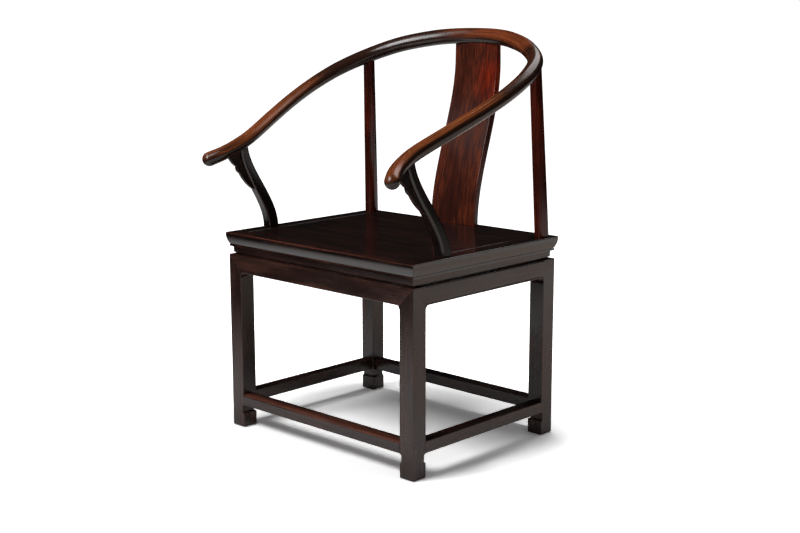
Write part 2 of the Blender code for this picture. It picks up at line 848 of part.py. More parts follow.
def apron_corner_fill(name, half_outer):
    """Small fillet under the +X end of an apron, run on past the leg's inner edge."""
    inner = half_outer - LEG_INNER
    steps = 4
    outline = [
        (half_outer - LEG_INSET, APRON_BOTTOM - APRON_CORNER),
        (half_outer - LEG_INSET, APRON_BOTTOM + ROOT),
        (inner - APRON_CORNER - ROOT, APRON_BOTTOM + ROOT),
    ]
    for step in range(steps + 1):
        angle = math.radians(90) * step / steps
        outline.append((
            inner - APRON_CORNER * (1 - math.sin(angle)),
            APRON_BOTTOM - APRON_CORNER * (1 - math.cos(angle)),
        ))
    middle = LEG_INSET + APRON_THICKNESS / 2
    stand = Matrix.Translation((0, middle, 0)) @ Matrix.Rotation(math.radians(90), 4, "X")
    return plate(name, outline, APRON_THICKNESS - 2 * CLEARANCE, stand)


def apron_tenon(name, half_outer, grow=0.0):
    """Tenon at the +X end of an apron, in the middle of its thickness."""
    middle = LEG_INSET + APRON_THICKNESS / 2
    half = APRON_TENON_THICKNESS / 2
    inner = half_outer - LEG_INNER
    low = (inner - ROOT, middle - half, APRON_BOTTOM + APRON_TENON_LIFT)
    high = (
        inner + APRON_TENON_REACH,
        middle + half,
        APRON_BOTTOM + APRON_TENON_LIFT + APRON_TENON_HEIGHT,
    )
    return box(name, low, high, grow)


def apron_bar(name, length, place, grow=0.0):
    """An apron with slanting and plan mitres, and its tenons, put in place."""
    gap = CLEARANCE / 2 - grow
    half = length / 2
    mitre = gap * math.sqrt(2)
    bar = mitred_bar(name, apron_outline(grow), length, mitre, Matrix.Identity(4))
    waste = apron_end_waste(name + "_waste", half, gap)
    fill = apron_corner_fill(name + "_fill", half)
    tenon = apron_tenon(name + "_tenon", half, grow)
    join(bar, fill, mirrored(fill, name + "_fill_left", side=LEFT))
    cut(bar, waste, mirrored(waste, name + "_waste_left", side=LEFT))
    join(bar, tenon, mirrored(tenon, name + "_tenon_left", side=LEFT))
    mesh = evaluated_mesh(bar)
    bar.modifiers.clear()
    bar.data = mesh
    return turned(bar, place)


def make_aprons():
    """Four aprons, mitred into the legs."""
    front = apron_bar("apron_front", SEAT_WIDTH, front_place())
    right = apron_bar("apron_right", SEAT_DEPTH, right_place())
    back = mirrored(front, "apron_back", end=FRONT)
    left = mirrored(right, "apron_left", side=LEFT)
    for apron in (front, back, right, left):
        finish(apron, DARK_WOOD)


def notch_outline():
    """Scoop above the hoof, as (depth in from the inner face, height)."""
    steps = 3
    top = STRETCHER_BOTTOM - CLEARANCE
    soft = HOOF_NOTCH_SOFTNESS
    outline = [(-OVERRUN, HOOF_HEIGHT), (0, HOOF_HEIGHT)]
    for step in range(1, steps + 1):
        angle = math.radians(90) * step / steps
        outline.append((HOOF_NOTCH * math.sin(angle), HOOF_HEIGHT + soft * (1 - math.cos(angle))))
    for step in range(steps + 1):
        angle = math.radians(90) * step / steps
        outline.append((HOOF_NOTCH * math.cos(angle), top - soft * (1 - math.sin(angle))))
    outline.append((-OVERRUN, top))
    return outline


def stretcher_tenon(name, half_outer, grow=0.0):
    """Tenon at the +X end of a stretcher along X."""
    inner = half_outer - LEG_INNER
    half = STRETCHER_TENON_THICKNESS / 2
    lift = (STRETCHER_HEIGHT - STRETCHER_TENON_HEIGHT) / 2
    low = (inner - ROOT, STRETCHER_CENTRE - half, STRETCHER_BOTTOM + lift)
    high = (inner + STRETCHER_TENON, STRETCHER_CENTRE + half, STRETCHER_TOP - lift)
    return box(name, low, high, grow)


def round_edges(piece, amount, segments, chosen):
    """Rounds the edges of a piece that a test picks by their two ends."""
    bm = bmesh.new()
    bm.from_mesh(piece.data)
    edges = [edge for edge in bm.edges if chosen(*(vert.co for vert in edge.verts))]
    bmesh.ops.bevel(bm, geom=edges, offset=amount, segments=segments, profile=0.5, affect="EDGES")
    bm.to_mesh(piece.data)
    bm.free()
    return piece


def along_axis(first, second, axis):
    """Whether an edge runs along one axis."""
    difference = second - first
    return abs(difference[axis]) > difference.length / 2


def leg_body(name):
    """The front right leg as a square bar with a thinner head behind the waist."""
    outer_x = HALF_WIDTH - LEG_INSET
    outer_y = -HALF_DEPTH + LEG_INSET
    low = (outer_x - LEG_SIDE, outer_y, 0)
    high = (outer_x, outer_y + LEG_SIDE, APRON_TOP)
    body = box(name, low, high)
    round_edges(body, HOOF_EDGE, 2, lambda first, second: max(first.z, second.z) == 0)

    def small_upright(first, second):
        return along_axis(first, second, 2) and (second - first).length > APRON_HEIGHT
    round_edges(body, LEG_ARRIS, 2, small_upright)
    return body


def make_legs():
    """Four legs with hoof feet, mortised for aprons and stretchers."""
    leg = leg_body("leg_front_right")
    head_out = WAIST_INSET + WAIST_THICKNESS + CLEARANCE
    low = (HALF_WIDTH - LEG_INNER + LEG_ARRIS, -HALF_DEPTH + head_out, APRON_TOP - ROOT)
    high = (HALF_WIDTH - head_out, -HALF_DEPTH + LEG_INNER - LEG_ARRIS, FRAME_BOTTOM - CLEARANCE)
    aprons = (
        apron_bar("apron_front_space", SEAT_WIDTH, front_place(), CLEARANCE),
        apron_bar("apron_right_space", SEAT_DEPTH, right_place(), CLEARANCE),
    )
    front_tenon = turned(stretcher_tenon("stretcher_x_mortise", HALF_WIDTH, CLEARANCE), front_place())
    side_tenon = mirrored(
        turned(stretcher_tenon("stretcher_y_mortise", HALF_DEPTH, CLEARANCE), right_place()),
        "stretcher_y_mortise_front",
        end=FRONT,
    )
    stand_x = Matrix(((-1, 0, 0, 0), (0, 0, 1, 0), (0, 1, 0, 0), (0, 0, 0, 1)))
    reach = 2 * (LEG_SIDE + OVERRUN)
    corner = Matrix.Translation((HALF_WIDTH - LEG_INNER, -HALF_DEPTH + LEG_INNER, 0))
    scoop_x = plate("hoof_scoop_x", notch_outline(), reach, corner @ mirror_turn(stand_x))
    stand_y = Matrix(((0, 0, 1, 0), (-1, 0, 0, 0), (0, 1, 0, 0), (0, 0, 0, 1)))
    scoop_y = plate("hoof_scoop_y", notch_outline(), reach, corner @ stand_y)
    cut(leg, scoop_x, scoop_y)
    cut(leg, *aprons)
    join(leg, box("leg_head", low, high), leg_tenon("leg_head_tenon"))
    cut(leg, front_tenon, side_tenon)
    pieces = [
        leg,
        mirrored(leg, "leg_front_left", side=LEFT),
        mirrored(leg, "leg_back_right", end=FRONT),
        mirrored(leg, "leg_back_left", side=LEFT, end=FRONT),
    ]
    for piece in pieces:
        finish(piece, DARK_WOOD)


def mirror_turn(place):
    """The same placing with its first axis turned round."""
    return place @ Matrix.Diagonal((-1, 1, 1, 1))


def stretcher(name, half_outer, place, wear):
    """A stretcher along X with its outer face flush with the legs."""
    inner = half_outer - LEG_INNER - CLEARANCE
    low = (-inner, LEG_INSET, STRETCHER_BOTTOM)
    high = (inner, LEG_INSET + STRETCHER_WIDTH, STRETCHER_TOP)
    bar = box(name, low, high)
    middle = (STRETCHER_TOP + STRETCHER_BOTTOM) / 2

    def worn(first, second):
        outer = max(first.y, second.y) < STRETCHER_CENTRE
        return along_axis(first, second, 0) and outer and min(first.z, second.z) > middle

    def plain(first, second):
        return along_axis(first, second, 0) and not worn(first, second)
    round_edges(bar, STRETCHER_ARRIS, 1, plain)

    def worn_now(first, second):
        top = min(first.z, second.z) > STRETCHER_TOP - WELD
        outer = max(first.y, second.y) < LEG_INSET + WELD
        return along_axis(first, second, 0) and top and outer
    round_edges(bar, wear, 3, worn_now)
    tenon = stretcher_tenon(name + "_tenon", half_outer)
    join(bar, tenon, mirrored(tenon, name + "_tenon_left", side=LEFT))
    mesh = evaluated_mesh(bar)
    bar.modifiers.clear()
    bar.data = mesh
    return turned(bar, place)


def make_stretchers():
    """Four stretchers at one level; the front one is worn round by feet."""
    front = stretcher("stretcher_front", HALF_WIDTH, front_place(), STRETCHER_WEAR)
    right = stretcher("stretcher_right", HALF_DEPTH, right_place(), STRETCHER_ARRIS)
    plain = stretcher("stretcher_back_flat", HALF_WIDTH, front_place(), STRETCHER_ARRIS)
    back = mirrored(plain, "stretcher_back", end=FRONT)
    left = mirrored(right, "stretcher_left", side=LEFT)
    for bar in (front, back, right, left):
        finish(bar, DARK_WOOD)


def arm_tube(name, grow=0.0):
    """The right arm section of the rail, past its scarf."""
    past = (SCARF_LENGTH / 2 + OVERRUN) / (RAIL_LINE[1][-1] / 2)
    return rail_tube(name, 0, SCARF_SHARE + past, grow)


def crest_tube(name, grow=0.0):
    """The crest section of the rail, past both scarfs."""
    past = (SCARF_LENGTH / 2 + OVERRUN) / (RAIL_LINE[1][-1] / 2)
    return rail_tube(name, SCARF_SHARE - past, 2 - SCARF_SHARE + past, grow)


def make_rail():
    """Rail in three sections with keyed scarf joints over the back posts."""
    arm = arm_tube("rail_arm_right")
    cut(arm, scarf_waste("scarf_waste_arm", 1))
    join(arm, scarf_cog("scarf_cog_arm", 1))
    cut(arm, scarf_cog("scarf_slot_arm", -1, CLEARANCE), scarf_pin("scarf_pin_space", CLEARANCE))
    cut(arm, arm_post_top_tenon("arm_post_top_mortise", CLEARANCE))
    back_mortise = back_post_top_tenon("back_post_top_mortise", CLEARANCE)
    cut(arm, back_mortise)
    groove = bracket_blank("bracket_groove_rail", CLEARANCE)
    cut(groove, rail_core("bracket_groove_rail_core", CLEARANCE))
    cut(arm, groove)
    crest = crest_tube("rail_crest")
    waste = scarf_waste("scarf_waste_crest", -1)
    cog = scarf_cog("scarf_cog_crest", -1)
    slot = scarf_cog("scarf_slot_crest", 1, CLEARANCE)
    pin_space = scarf_pin("scarf_pin_space_crest", CLEARANCE)
    for tool in (waste, slot, pin_space, back_mortise):
        cut(crest, tool, mirrored(tool, tool.name + "_left", side=LEFT))
    join(crest, cog, mirrored(cog, "scarf_cog_crest_left", side=LEFT))
    cut(crest, splat_rail_tongue("splat_rail_mortise", CLEARANCE))
    pin = scarf_pin("scarf_pin_right")
    arm_left = mirrored(arm, "rail_arm_left", side=LEFT)
    pin_left = mirrored(pin, "scarf_pin_left", side=LEFT)
    for piece, colour in ((arm, WORN_WOOD), (arm_left, WORN_WOOD), (crest, DARK_WOOD)):
        finish(piece, colour)
    for piece in (pin, pin_left):
        finish(piece, DARK_WOOD)


def arm_post_middle(share):
    """Middle of the right arm post at a share of its height: an S from seat to rail."""
    base = arm_post_base()
    top = arm_post_top()
    place = mix(base, top, share)
    place.y = mix(base.y, top.y, smooth_step(share))
    return place


def arm_post_body(name, grow=0.0, past=0.0):
    """S-shaped tapering post, sawn from the side and softened along its length."""
    front_edge = []
    back_edge = []
    rise = arm_post_top().z - SEAT_HEIGHT
    start = -OVERRUN / rise
    delta = 1 / ARM_POST_STEPS
    for step in range(ARM_POST_STEPS + 1):
        share = mix(start, 1 + past / rise, step / ARM_POST_STEPS)
        side = arm_post_side(share) / 2 + grow
        middle = arm_post_middle(share)
        slope = arm_post_middle(share + delta / 2) - arm_post_middle(share - delta / 2)
        run = math.hypot(slope.y, slope.z)
        front_edge.append((middle.y - side * slope.z / run, middle.z + side * slope.y / run))
        back_edge.append((middle.y + side * slope.z / run, middle.z - side * slope.y / run))
    outline = front_edge + list(reversed(back_edge))
    stand = Matrix(((0, 0, 1, 0), (1, 0, 0, 0), (0, 1, 0, 0), (0, 0, 0, 1)))
    post = plate(name, outline, 2, stand)
    for vert in post.data.vertices:
        share = (vert.co.z - SEAT_HEIGHT) / rise
        reach = arm_post_side(share) / 2 + grow
        vert.co.x = arm_post_middle(share).x + reach * vert.co.x
    middle = arm_post_middle(0.5).x

    def lengthwise(first, second):
        return (first.x - middle) * (second.x - middle) > 0
    return round_edges(post, ARM_POST_EDGE, 3, lengthwise)


def arm_post_side(share):
    """Thickness of the arm post at a share of its height."""
    return mix(ARM_POST_BASE_SIDE, ARM_POST_TOP_SIDE, share)


def seat_waste(name):
    """Everything below the seat top, to trim the foot of a post or the splat."""
    reach = SEAT_WIDTH
    low = (-reach, -reach, SEAT_HEIGHT - 2 * OVERRUN)
    high = (reach, reach, SEAT_HEIGHT + CLEARANCE)
    return box(name, low, high)


def make_arm_posts():
    """Two S-shaped arm posts, coped under the rail."""
    post = arm_post_body("arm_post_right")
    cut(post, seat_waste("arm_post_foot"), arm_tube("arm_post_cope", CLEARANCE))
    groove = bracket_blank("bracket_groove_post", CLEARANCE)
    cut(groove, arm_post_core("bracket_groove_post_core", CLEARANCE))
    cut(post, groove)
    join(post, arm_post_tenon("arm_post_foot_tenon"))
    join(post, arm_post_top_tenon("arm_post_top_tenon"))
    left = mirrored(post, "arm_post_left", side=LEFT)
    finish(post, DARK_WOOD)
    finish(left, DARK_WOOD)


def make_back_posts():
    """Two round tapering back posts, coped under the rail."""
    base = back_post_base()
    top = rail_at(BACK_POST_SHARE)
    rise = top.z - base.z
    bm = bmesh.new()
    bmesh.ops.create_cone(
        bm,
        cap_ends=True,
        segments=20,
        radius1=BACK_POST_BASE_RADIUS,
        radius2=BACK_POST_TOP_RADIUS,
        depth=rise - CLEARANCE,
    )
    for vert in bm.verts:
        share = vert.co.z / rise + 0.5
        vert.co += mix(base, top, share) - Vector((0, 0, vert.co.z))
        vert.co.z = mix(base.z + CLEARANCE, top.z, round(share))
    post = object_from_bmesh("back_post_right", bm)
    cut(post, arm_tube("back_post_cope_arm", CLEARANCE))
    cut(post, crest_tube("back_post_cope_crest", CLEARANCE))
    join(post, back_post_tenon("back_post_foot_tenon"))
    join(post, back_post_top_tenon("back_post_top_tenon"))
    left = mirrored(post, "back_post_left", side=LEFT)
    finish(post, RED_WOOD)
    finish(left, RED_WOOD)


def bracket_front():
    """Point of the rail over the front tip of the right bracket."""
    return rail_at(ARM_POST_SHARE - BRACKET_REACH / (RAIL_LINE[1][-1] / 2))


def bracket_outline():
    """Bracket outline as (y, height), carried on to the middles of the rail and the post."""
    top = arm_post_top()
    cusps = []
    for reach_share, drop_share in BRACKET_CUSP_SHARES:
        cusps.append(Vector((
            top.y - reach_share * BRACKET_REACH,
            top.z - drop_share * BRACKET_DROP,
        )))
    outline = []
    for start, end, bulge_share in zip(cusps, cusps[1:], BRACKET_BULGE_SHARES):
        chord = end - start
        out = Vector((chord.y, -chord.x)) * bulge_share
        for step in range(BRACKET_LOBE_STEPS):
            share = step / BRACKET_LOBE_STEPS
            outline.append(start + chord * share + out * 4 * share * (1 - share))
    outline.append(cusps[-1])
    foot_share = (cusps[-1].y - SEAT_HEIGHT) / (top.z - SEAT_HEIGHT)
    for step in range(BRACKET_INNER_STEPS + 1):
        middle = arm_post_middle(mix(foot_share, 1, step / BRACKET_INNER_STEPS))
        outline.append(middle.yz)
    outline.append(bracket_front().yz)
    return [tuple(point) for point in outline]


def bracket_blank(name, grow=0.0):
    """Carved bracket before it is fitted to the rail and the post."""
    thickness = BRACKET_THICKNESS + 2 * grow
    stand = Matrix(((0, 0, 1, 0), (1, 0, 0, 0), (0, 1, 0, 0), (0, 0, 0, 1)))
    piece = plate(name, bracket_outline(), thickness, stand)
    top = arm_post_top()
    to_front = bracket_front() - top
    foot_share = 1 - BRACKET_DROP / (top.z - SEAT_HEIGHT)
    to_foot = arm_post_middle(foot_share) - top
    spread = to_front.y * to_foot.z - to_front.z * to_foot.y
    lean_back = (to_front.x * to_foot.z - to_front.z * to_foot.x) / spread
    lean_up = (to_front.y * to_foot.x - to_front.x * to_foot.y) / spread
    for vert in piece.data.vertices:
        vert.co.x += top.x + lean_back * (vert.co.y - top.y) + lean_up * (vert.co.z - top.z)
    return piece


def rail_core(name, grow=0.0):
    """The rail as deep as the tongue of a bracket reaches."""
    return arm_tube(name, -BRACKET_TONGUE - grow)


def arm_post_core(name, grow=0.0):
    """The arm post as deep as the tongue of a bracket reaches."""
    return arm_post_body(name, -BRACKET_TONGUE - grow, OVERRUN)


def make_brackets():
    """Two carved brackets."""
    right = bracket_blank("arm_bracket_right")
    cut(right, rail_core("bracket_rail_core"), arm_post_core("bracket_post_core"))
    left = mirrored(right, "arm_bracket_left", side=LEFT)
    finish(right, DARK_WOOD)
    finish(left, DARK_WOOD)


def splat_middle(share):
    """Middle of the splat's thickness at a share of its height, as (y, z)."""
    base = HALF_DEPTH - SPLAT_BACK_INSET
    top = RAIL_BACK_REACH
    span = SPLAT_SWEEP_END_SHARE - SPLAT_SWEEP_START_SHARE
    sweep = smooth_step((share - SPLAT_SWEEP_START_SHARE) / span)
    return mix(base, top, sweep), mix(SEAT_HEIGHT, CREST_HEIGHT, share)


def splat_rail_tongue(name, grow=0.0):
    """Tongue at the head of the splat."""
    half = SPLAT_RAIL_TONGUE_WIDTH / 2
    thick = SPLAT_TONGUE_THICKNESS / 2
    middle = RAIL_BACK_REACH
    under = CREST_HEIGHT - RAIL_CREST_RADIUS
    low = (-half, middle - thick, under - ROOT)
    high = (half, middle + thick, under + SPLAT_RAIL_TONGUE_DEPTH)
    return box(name, low, high, grow)


def make_splat():
    """Back splat with a lengthwise sweep, tongued into seat frame and rail."""
    front_face = []
    back_face = []
    for step in range(SPLAT_STEPS + 1):
        share = step / SPLAT_STEPS
        swell = math.sin(math.radians(180) * share)
        half = mix(SPLAT_END_THICKNESS, SPLAT_MIDDLE_THICKNESS, swell) / 2
        y, z = splat_middle(share)
        above = splat_middle(share + 1 / SPLAT_STEPS)
        below = splat_middle(share - 1 / SPLAT_STEPS)
        slope = Vector((above[0] - below[0], above[1] - below[1])).normalized()
        front_face.append((y - half * slope.y, z + half * slope.x))
        back_face.append((y + half * slope.y, z - half * slope.x))
    stand = Matrix(((0, 0, 1, 0), (1, 0, 0, 0), (0, 1, 0, 0), (0, 0, 0, 1)))
    splat = plate("splat", front_face + list(reversed(back_face)), SPLAT_BASE_WIDTH, stand)
    for vert in splat.data.vertices:
        share = (vert.co.z - SEAT_HEIGHT) / (CREST_HEIGHT - SEAT_HEIGHT)
        width = mix(SPLAT_BASE_WIDTH, SPLAT_TOP_WIDTH, share)
        vert.co.x = math.copysign(width / 2, vert.co.x)
    round_edges(splat, SPLAT_EDGE, 1, lambda first, second: first.x * second.x > 0)
    cut(splat, seat_waste("splat_foot"), crest_tube("splat_cope", CLEARANCE))
    join(splat, splat_tongue("splat_foot_tongue"), splat_rail_tongue("splat_head_tongue"))
    finish(splat, RED_WOOD)


def centre_chair():
    """Moves everything along Y until the whole chair's extent is centred on the origin."""
    low = math.inf
    high = -math.inf
    for item in CHAIR.objects:
        mesh = evaluated_mesh(item)
        low = min(low, min(vert.co.y for vert in mesh.vertices))
        high = max(high, max(vert.co.y for vert in mesh.vertices))
        bpy.data.meshes.remove(mesh)
    move = Matrix.Translation((0, -(low + high) / 2, 0))
    for item in list(CHAIR.objects) + list(TOOLS.objects):
        item.data.transform(move)


clear_scene()
CHAIR = make_collection("horseshoe_armchair")
TOOLS = make_collection("cutters")
RAIL_LINE = rail_line()
make_frame()
make_battens()
make_boards()
make_waist()
make_aprons()
make_legs()
make_stretchers()
make_rail()
make_arm_posts()
make_back_posts()
make_brackets()
make_splat()
centre_chair()
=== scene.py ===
"""Looks of the horseshoe back armchair.

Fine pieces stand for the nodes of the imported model, each in its own dark polished wood, on a pale
floor under soft studio light.  The pieces are built with the middle of the seat frame over the
origin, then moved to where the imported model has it.  Sizes are in metres.
"""
import bisect
import json
import math

import bmesh
import bpy
from mathutils import Matrix, Vector
from mathutils.kdtree import KDTree

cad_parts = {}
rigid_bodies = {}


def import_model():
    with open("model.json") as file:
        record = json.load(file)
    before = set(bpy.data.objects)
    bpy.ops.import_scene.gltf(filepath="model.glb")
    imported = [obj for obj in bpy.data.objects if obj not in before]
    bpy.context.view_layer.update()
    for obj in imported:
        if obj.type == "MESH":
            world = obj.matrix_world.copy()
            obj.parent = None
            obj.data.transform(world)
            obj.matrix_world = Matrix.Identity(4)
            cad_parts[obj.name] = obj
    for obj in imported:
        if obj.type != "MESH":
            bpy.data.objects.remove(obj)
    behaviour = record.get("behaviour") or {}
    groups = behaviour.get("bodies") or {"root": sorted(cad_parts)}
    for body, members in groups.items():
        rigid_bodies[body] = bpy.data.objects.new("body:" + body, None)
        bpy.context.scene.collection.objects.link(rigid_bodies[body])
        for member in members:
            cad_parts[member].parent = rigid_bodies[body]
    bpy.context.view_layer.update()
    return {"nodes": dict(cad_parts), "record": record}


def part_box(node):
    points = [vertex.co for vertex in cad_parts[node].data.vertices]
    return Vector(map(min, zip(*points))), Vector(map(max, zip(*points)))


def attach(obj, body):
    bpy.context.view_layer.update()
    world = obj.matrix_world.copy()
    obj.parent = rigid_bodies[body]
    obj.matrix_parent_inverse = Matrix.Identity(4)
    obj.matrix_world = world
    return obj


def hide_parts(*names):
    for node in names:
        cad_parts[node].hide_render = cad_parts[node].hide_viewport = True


# Fits and fineness
CLEARANCE = 0.0003
OVERRUN = 0.010
ARRIS_STEPS = 4
SHARP_DEGREES = 35
COLUMN_SPACING = 0.012

# Seat frame, boards and waist
SEAT_WIDTH = 0.643
SEAT_DEPTH = 0.520
SEAT_HEIGHT = 0.500
FRAME_THICKNESS = 0.035
FRAME_WIDTH = 0.042
FRAME_EDGE_INSET = 0.0066
FRAME_EDGE_FLAT = 0.006
FRAME_EDGE_LIP = 0.0065
FRAME_QUIRK = 0.0014
FRAME_EDGE_BULGE = 1.8
FRAME_EDGE_STEPS = 12
FRAME_ARRIS = 0.0016
FRAME_CORNER = 0.0022
BOARD_THICKNESS = 0.012
BOARD_ARRIS = 0.0004
BOARD_ARRIS_STEPS = 1
WAIST_INSET = 0.0138
WAIST_THICKNESS = 0.010
WAIST_HEIGHT = 0.0205
WAIST_DRAFT = 0.0008
WAIST_SHADOW_HEIGHT = 0.0045
WAIST_SHADOW_DEPTH = 0.0035

# Legs and aprons
LEG_INSET = 0.006
LEG_SIDE = 0.0425
LEG_ARRIS = 0.0016
APRON_HEIGHT = 0.043
APRON_THICKNESS = 0.014
APRON_SHOULDER = 0.003
APRON_CORNER = 0.007
APRON_BEAD = 0.0045
APRON_BEAD_PROUD = 0.0011
HOOF_HEIGHT = 0.036
HOOF_NOTCH = 0.005
HOOF_NOTCH_SOFTNESS = 0.006
HOOF_EDGE = 0.004

# Stretchers
STRETCHER_TOP = 0.0865
STRETCHER_HEIGHT = 0.028
STRETCHER_WIDTH = 0.033
STRETCHER_ARRIS = 0.0014
STRETCHER_WEAR = 0.006

# Rail
RAIL_HALF_WIDTH = 0.325
RAIL_BACK_REACH = 0.327
RAIL_FRONT_REACH = 0.3265
GRIP_HEIGHT = 0.681
CREST_HEIGHT = 0.9766
RAIL_ARM_RADIUS = 0.0170
RAIL_CREST_RADIUS = 0.0200
GRIP_RADIUS = 0.0178
# From grip to crest: share of the half width, of the reach forward or back, and of the rise
RAIL_STATION_SHARES = (
    (0.980, -1.000, 0.000),
    (0.956, -0.963, 0.019),
    (0.889, -0.858, 0.074),
    (0.859, -0.732, 0.140),
    (0.864, -0.606, 0.205),
    (0.922, -0.357, 0.332),
    (0.975, -0.106, 0.457),
    (0.999, 0.147, 0.581),
    (0.971, 0.400, 0.705),
    (0.865, 0.635, 0.818),
    (0.656, 0.798, 0.916),
    (0.408, 0.914, 0.974),
    (0.208, 0.976, 0.995),
    (0.000, 1.000, 1.000),
)
# Share of the rail's half length from the right grip, and how much wood shows there
RAIL_WEAR_SHARES = (
    (0.00, 0.60),
    (0.06, 0.85),
    (0.36, 0.80),
    (0.48, 0.32),
    (0.68, 0.35),
    (0.76, 0.80),
    (0.90, 0.68),
    (1.05, 0.52),
    (1.16, 0.20),
    (1.45, 0.15),
    (1.58, 0.58),
    (1.85, 0.66),
    (1.95, 0.50),
    (2.01, 0.60),
)
# How far the worn side of the rail leans inwards, on the arms and on the crest, and how far from
# there round the rail the wear is full and ends, all in degrees
RAIL_WEAR_LEAN_ARM = 12
RAIL_WEAR_LEAN_CREST = 38
RAIL_WEAR_FULL = 55
RAIL_WEAR_REACH = 90
# Where the lean starts to change along the half length, and over what length
RAIL_LEAN_START_SHARE = 0.6
RAIL_LEAN_RUN_SHARE = 0.2
RAIL_SWELL_START_SHARE = 0.35
RAIL_SWELL_END_SHARE = 0.85
GRIP_SWELL_SHARE = 0.09
RAIL_STEPS = 48
RAIL_SIDES = 64
RAIL_SPACING = 0.004
DOME_STEPS = 12
# Middle of the scarf as a share of the rail's half length
SCARF_SHARE = 0.685
SCARF_LENGTH = 0.044
# Lengths of the rail that the posts, brackets and splat are coped to, in the same shares
ARM_COPE_SHARES = (0, 0.4)
BACK_POST_COPE_SHARES = (0.4, 0.9)
SPLAT_COPE_SHARES = (0.8, 1.2)

# Posts and brackets
ARM_POST_BASE_SIDE = 0.0300
ARM_POST_TOP_SIDE = 0.0235
ARM_POST_EDGE = 0.0060
ARM_POST_EDGE_STEPS = 6
ARM_POST_INSET = 0.0275
ARM_POST_FORWARD = 0.1330
ARM_POST_SHARE = 0.1215
ARM_POST_TOP_OUT = 0.0022
ARM_POST_STEPS = 60
# Its foot starts under the seat's top and is trimmed there, and so is the splat's
ARM_POST_FOOT_SHARE = -0.04
BACK_POST_INSET = 0.0288
BACK_POST_BACK_INSET = 0.0305
BACK_POST_SHARE = 0.658
BACK_POST_BASE_RADIUS = 0.0174
BACK_POST_TOP_RADIUS = 0.0146
BACK_POST_STEPS = 60
BRACKET_THICKNESS = 0.010
BRACKET_TONGUE = 0.003
BRACKET_REACH = 0.040
BRACKET_DROP = 0.124
BRACKET_LOBE_STEPS = 14
BRACKET_INNER_STEPS = 5
BRACKET_SOFTNESS = 0.0012
BRACKET_SOFTNESS_STEPS = 3
# Length of the arm post that the bracket is fitted to, as shares of its height
BRACKET_CORE_SHARES = (0.1, 1.1)
# Cusps from the rail end down to the post end: share of the reach and of the drop
BRACKET_CUSP_SHARES = ((1.000, 0.266), (0.387, 0.485), (0.110, 0.627), (-1.050, 1.000))
BRACKET_BULGE_SHARES = (0.077, 0.153, 0.065)

# Splat
SPLAT_BASE_WIDTH = 0.149
SPLAT_TOP_WIDTH = 0.140
SPLAT_END_THICKNESS = 0.0155
SPLAT_MIDDLE_THICKNESS = 0.0195
SPLAT_EDGE = 0.0022
SPLAT_BACK_INSET = 0.0215
SPLAT_SWEEP_START_SHARE = 0.010
SPLAT_SWEEP_END_SHARE = 0.870
SPLAT_STEPS = 60
SPLAT_COLUMNS = 10
SPLAT_FOOT_SHARE = -0.01

# Wear: how much wood shows through the lacquer, from 0 to 1, and how fast it rises with the slope; along
# rounded edges the lighter wood is partly a painted highlight
ARRIS_WEAR_AND_HIGHLIGHT = 0.5
ARRIS_WEAR_AND_HIGHLIGHT_RISE = 4
SEAT_EDGE_WEAR_BACK = 0.30
SEAT_EDGE_WEAR_FRONT = 0.60
SEAT_EDGE_WEAR_RISE = 5
SEAT_TOP_WEAR = 0.35
SEAT_TOP_WEAR_BACK_SHARE = 0.4
# How far in front of the seat's middle its wear starts to grow, and over what length
SEAT_WEAR_START = 0.15
SEAT_WEAR_RUN = 0.10
STRETCHER_WEAR_RISE = 1.4
STRETCHER_WEAR_INNER_SHARE = 0.2
# Redder wood of the splat: how much, how much at its top, where these start up its height and over
# what part of it, and how much reaches the middle of its width
SPLAT_RED = 0.8
SPLAT_RED_TOP = 0.4
SPLAT_RED_START_SHARE = 0.51
SPLAT_RED_RUN_SHARE = 0.30
SPLAT_RED_TOP_START_SHARE = 0.80
SPLAT_RED_TOP_RUN_SHARE = 0.10
SPLAT_RED_MIDDLE = 0.45
# Between the grain of one piece and that of the next
GRAIN_OFFSET = 3.7

# Noise in the woods: fineness along the grain, which for the streaks is in WOODS, fineness across it,
# detail and roughness
STREAK_NOISE = (230, 5.0, 0.6)
FIBRE_NOISE = (12, 420, 3.0, 0.6)
PATCH_NOISE = (7, 28, 3.0, 0.5)
MOTTLE_NOISE = (22, 90, 4.0, 0.6)
# What part of each noise, or of a sum of them, goes from nothing to all
STREAK_RANGE = (0.35, 0.7)
PATCH_RANGE = (0.3, 0.7)
BARE_RANGE = (0.78, 1.45)
LINE_RANGE = (0.38, 0.6)
FIBRE_RANGE = (0.6, 0.8)
# Shares of streaks and fibres in the lines of the bare wood and in the relief
LINE_SHARES = (0.7, 0.3)
RELIEF_SHARES = (0.7, 0.4)
WEAR_RAGGEDNESS = 0.6
WORN_SHADE = 0.38
WORN_DULLNESS = 0.04
DARK_FIBRE_SHADE = 0.5
DARK_FIBRE_SHARE = 0.5
SHEEN_LOW_SHARE = 0.8
SHEEN_HIGH_SHARE = 1.3
RELIEF_STRENGTH = 0.08
RELIEF_DEPTH = 0.0004

# Colours of the woods
INK = (0.0070, 0.0042, 0.0040)
UMBER = (0.0220, 0.0085, 0.0060)
BLACK = (0.0160, 0.0070, 0.0055)
BROWN = (0.0600, 0.0200, 0.0120)
DARK_RED = (0.0300, 0.0050, 0.0030)
RED = (0.1500, 0.0160, 0.0060)
PLUM = (0.0360, 0.0100, 0.0075)
RUSSET = (0.1400, 0.0280, 0.0110)
BRIGHT_RED = (0.2700, 0.0250, 0.0085)
DARK_BROWN = (0.0220, 0.0090, 0.0055)
ORANGE = (0.2200, 0.0500, 0.0160)
AMBER = (0.2000, 0.0520, 0.0150)
REDDISH = (0.1000, 0.0280, 0.0160)
ROSE = (0.1500, 0.0480, 0.0300)
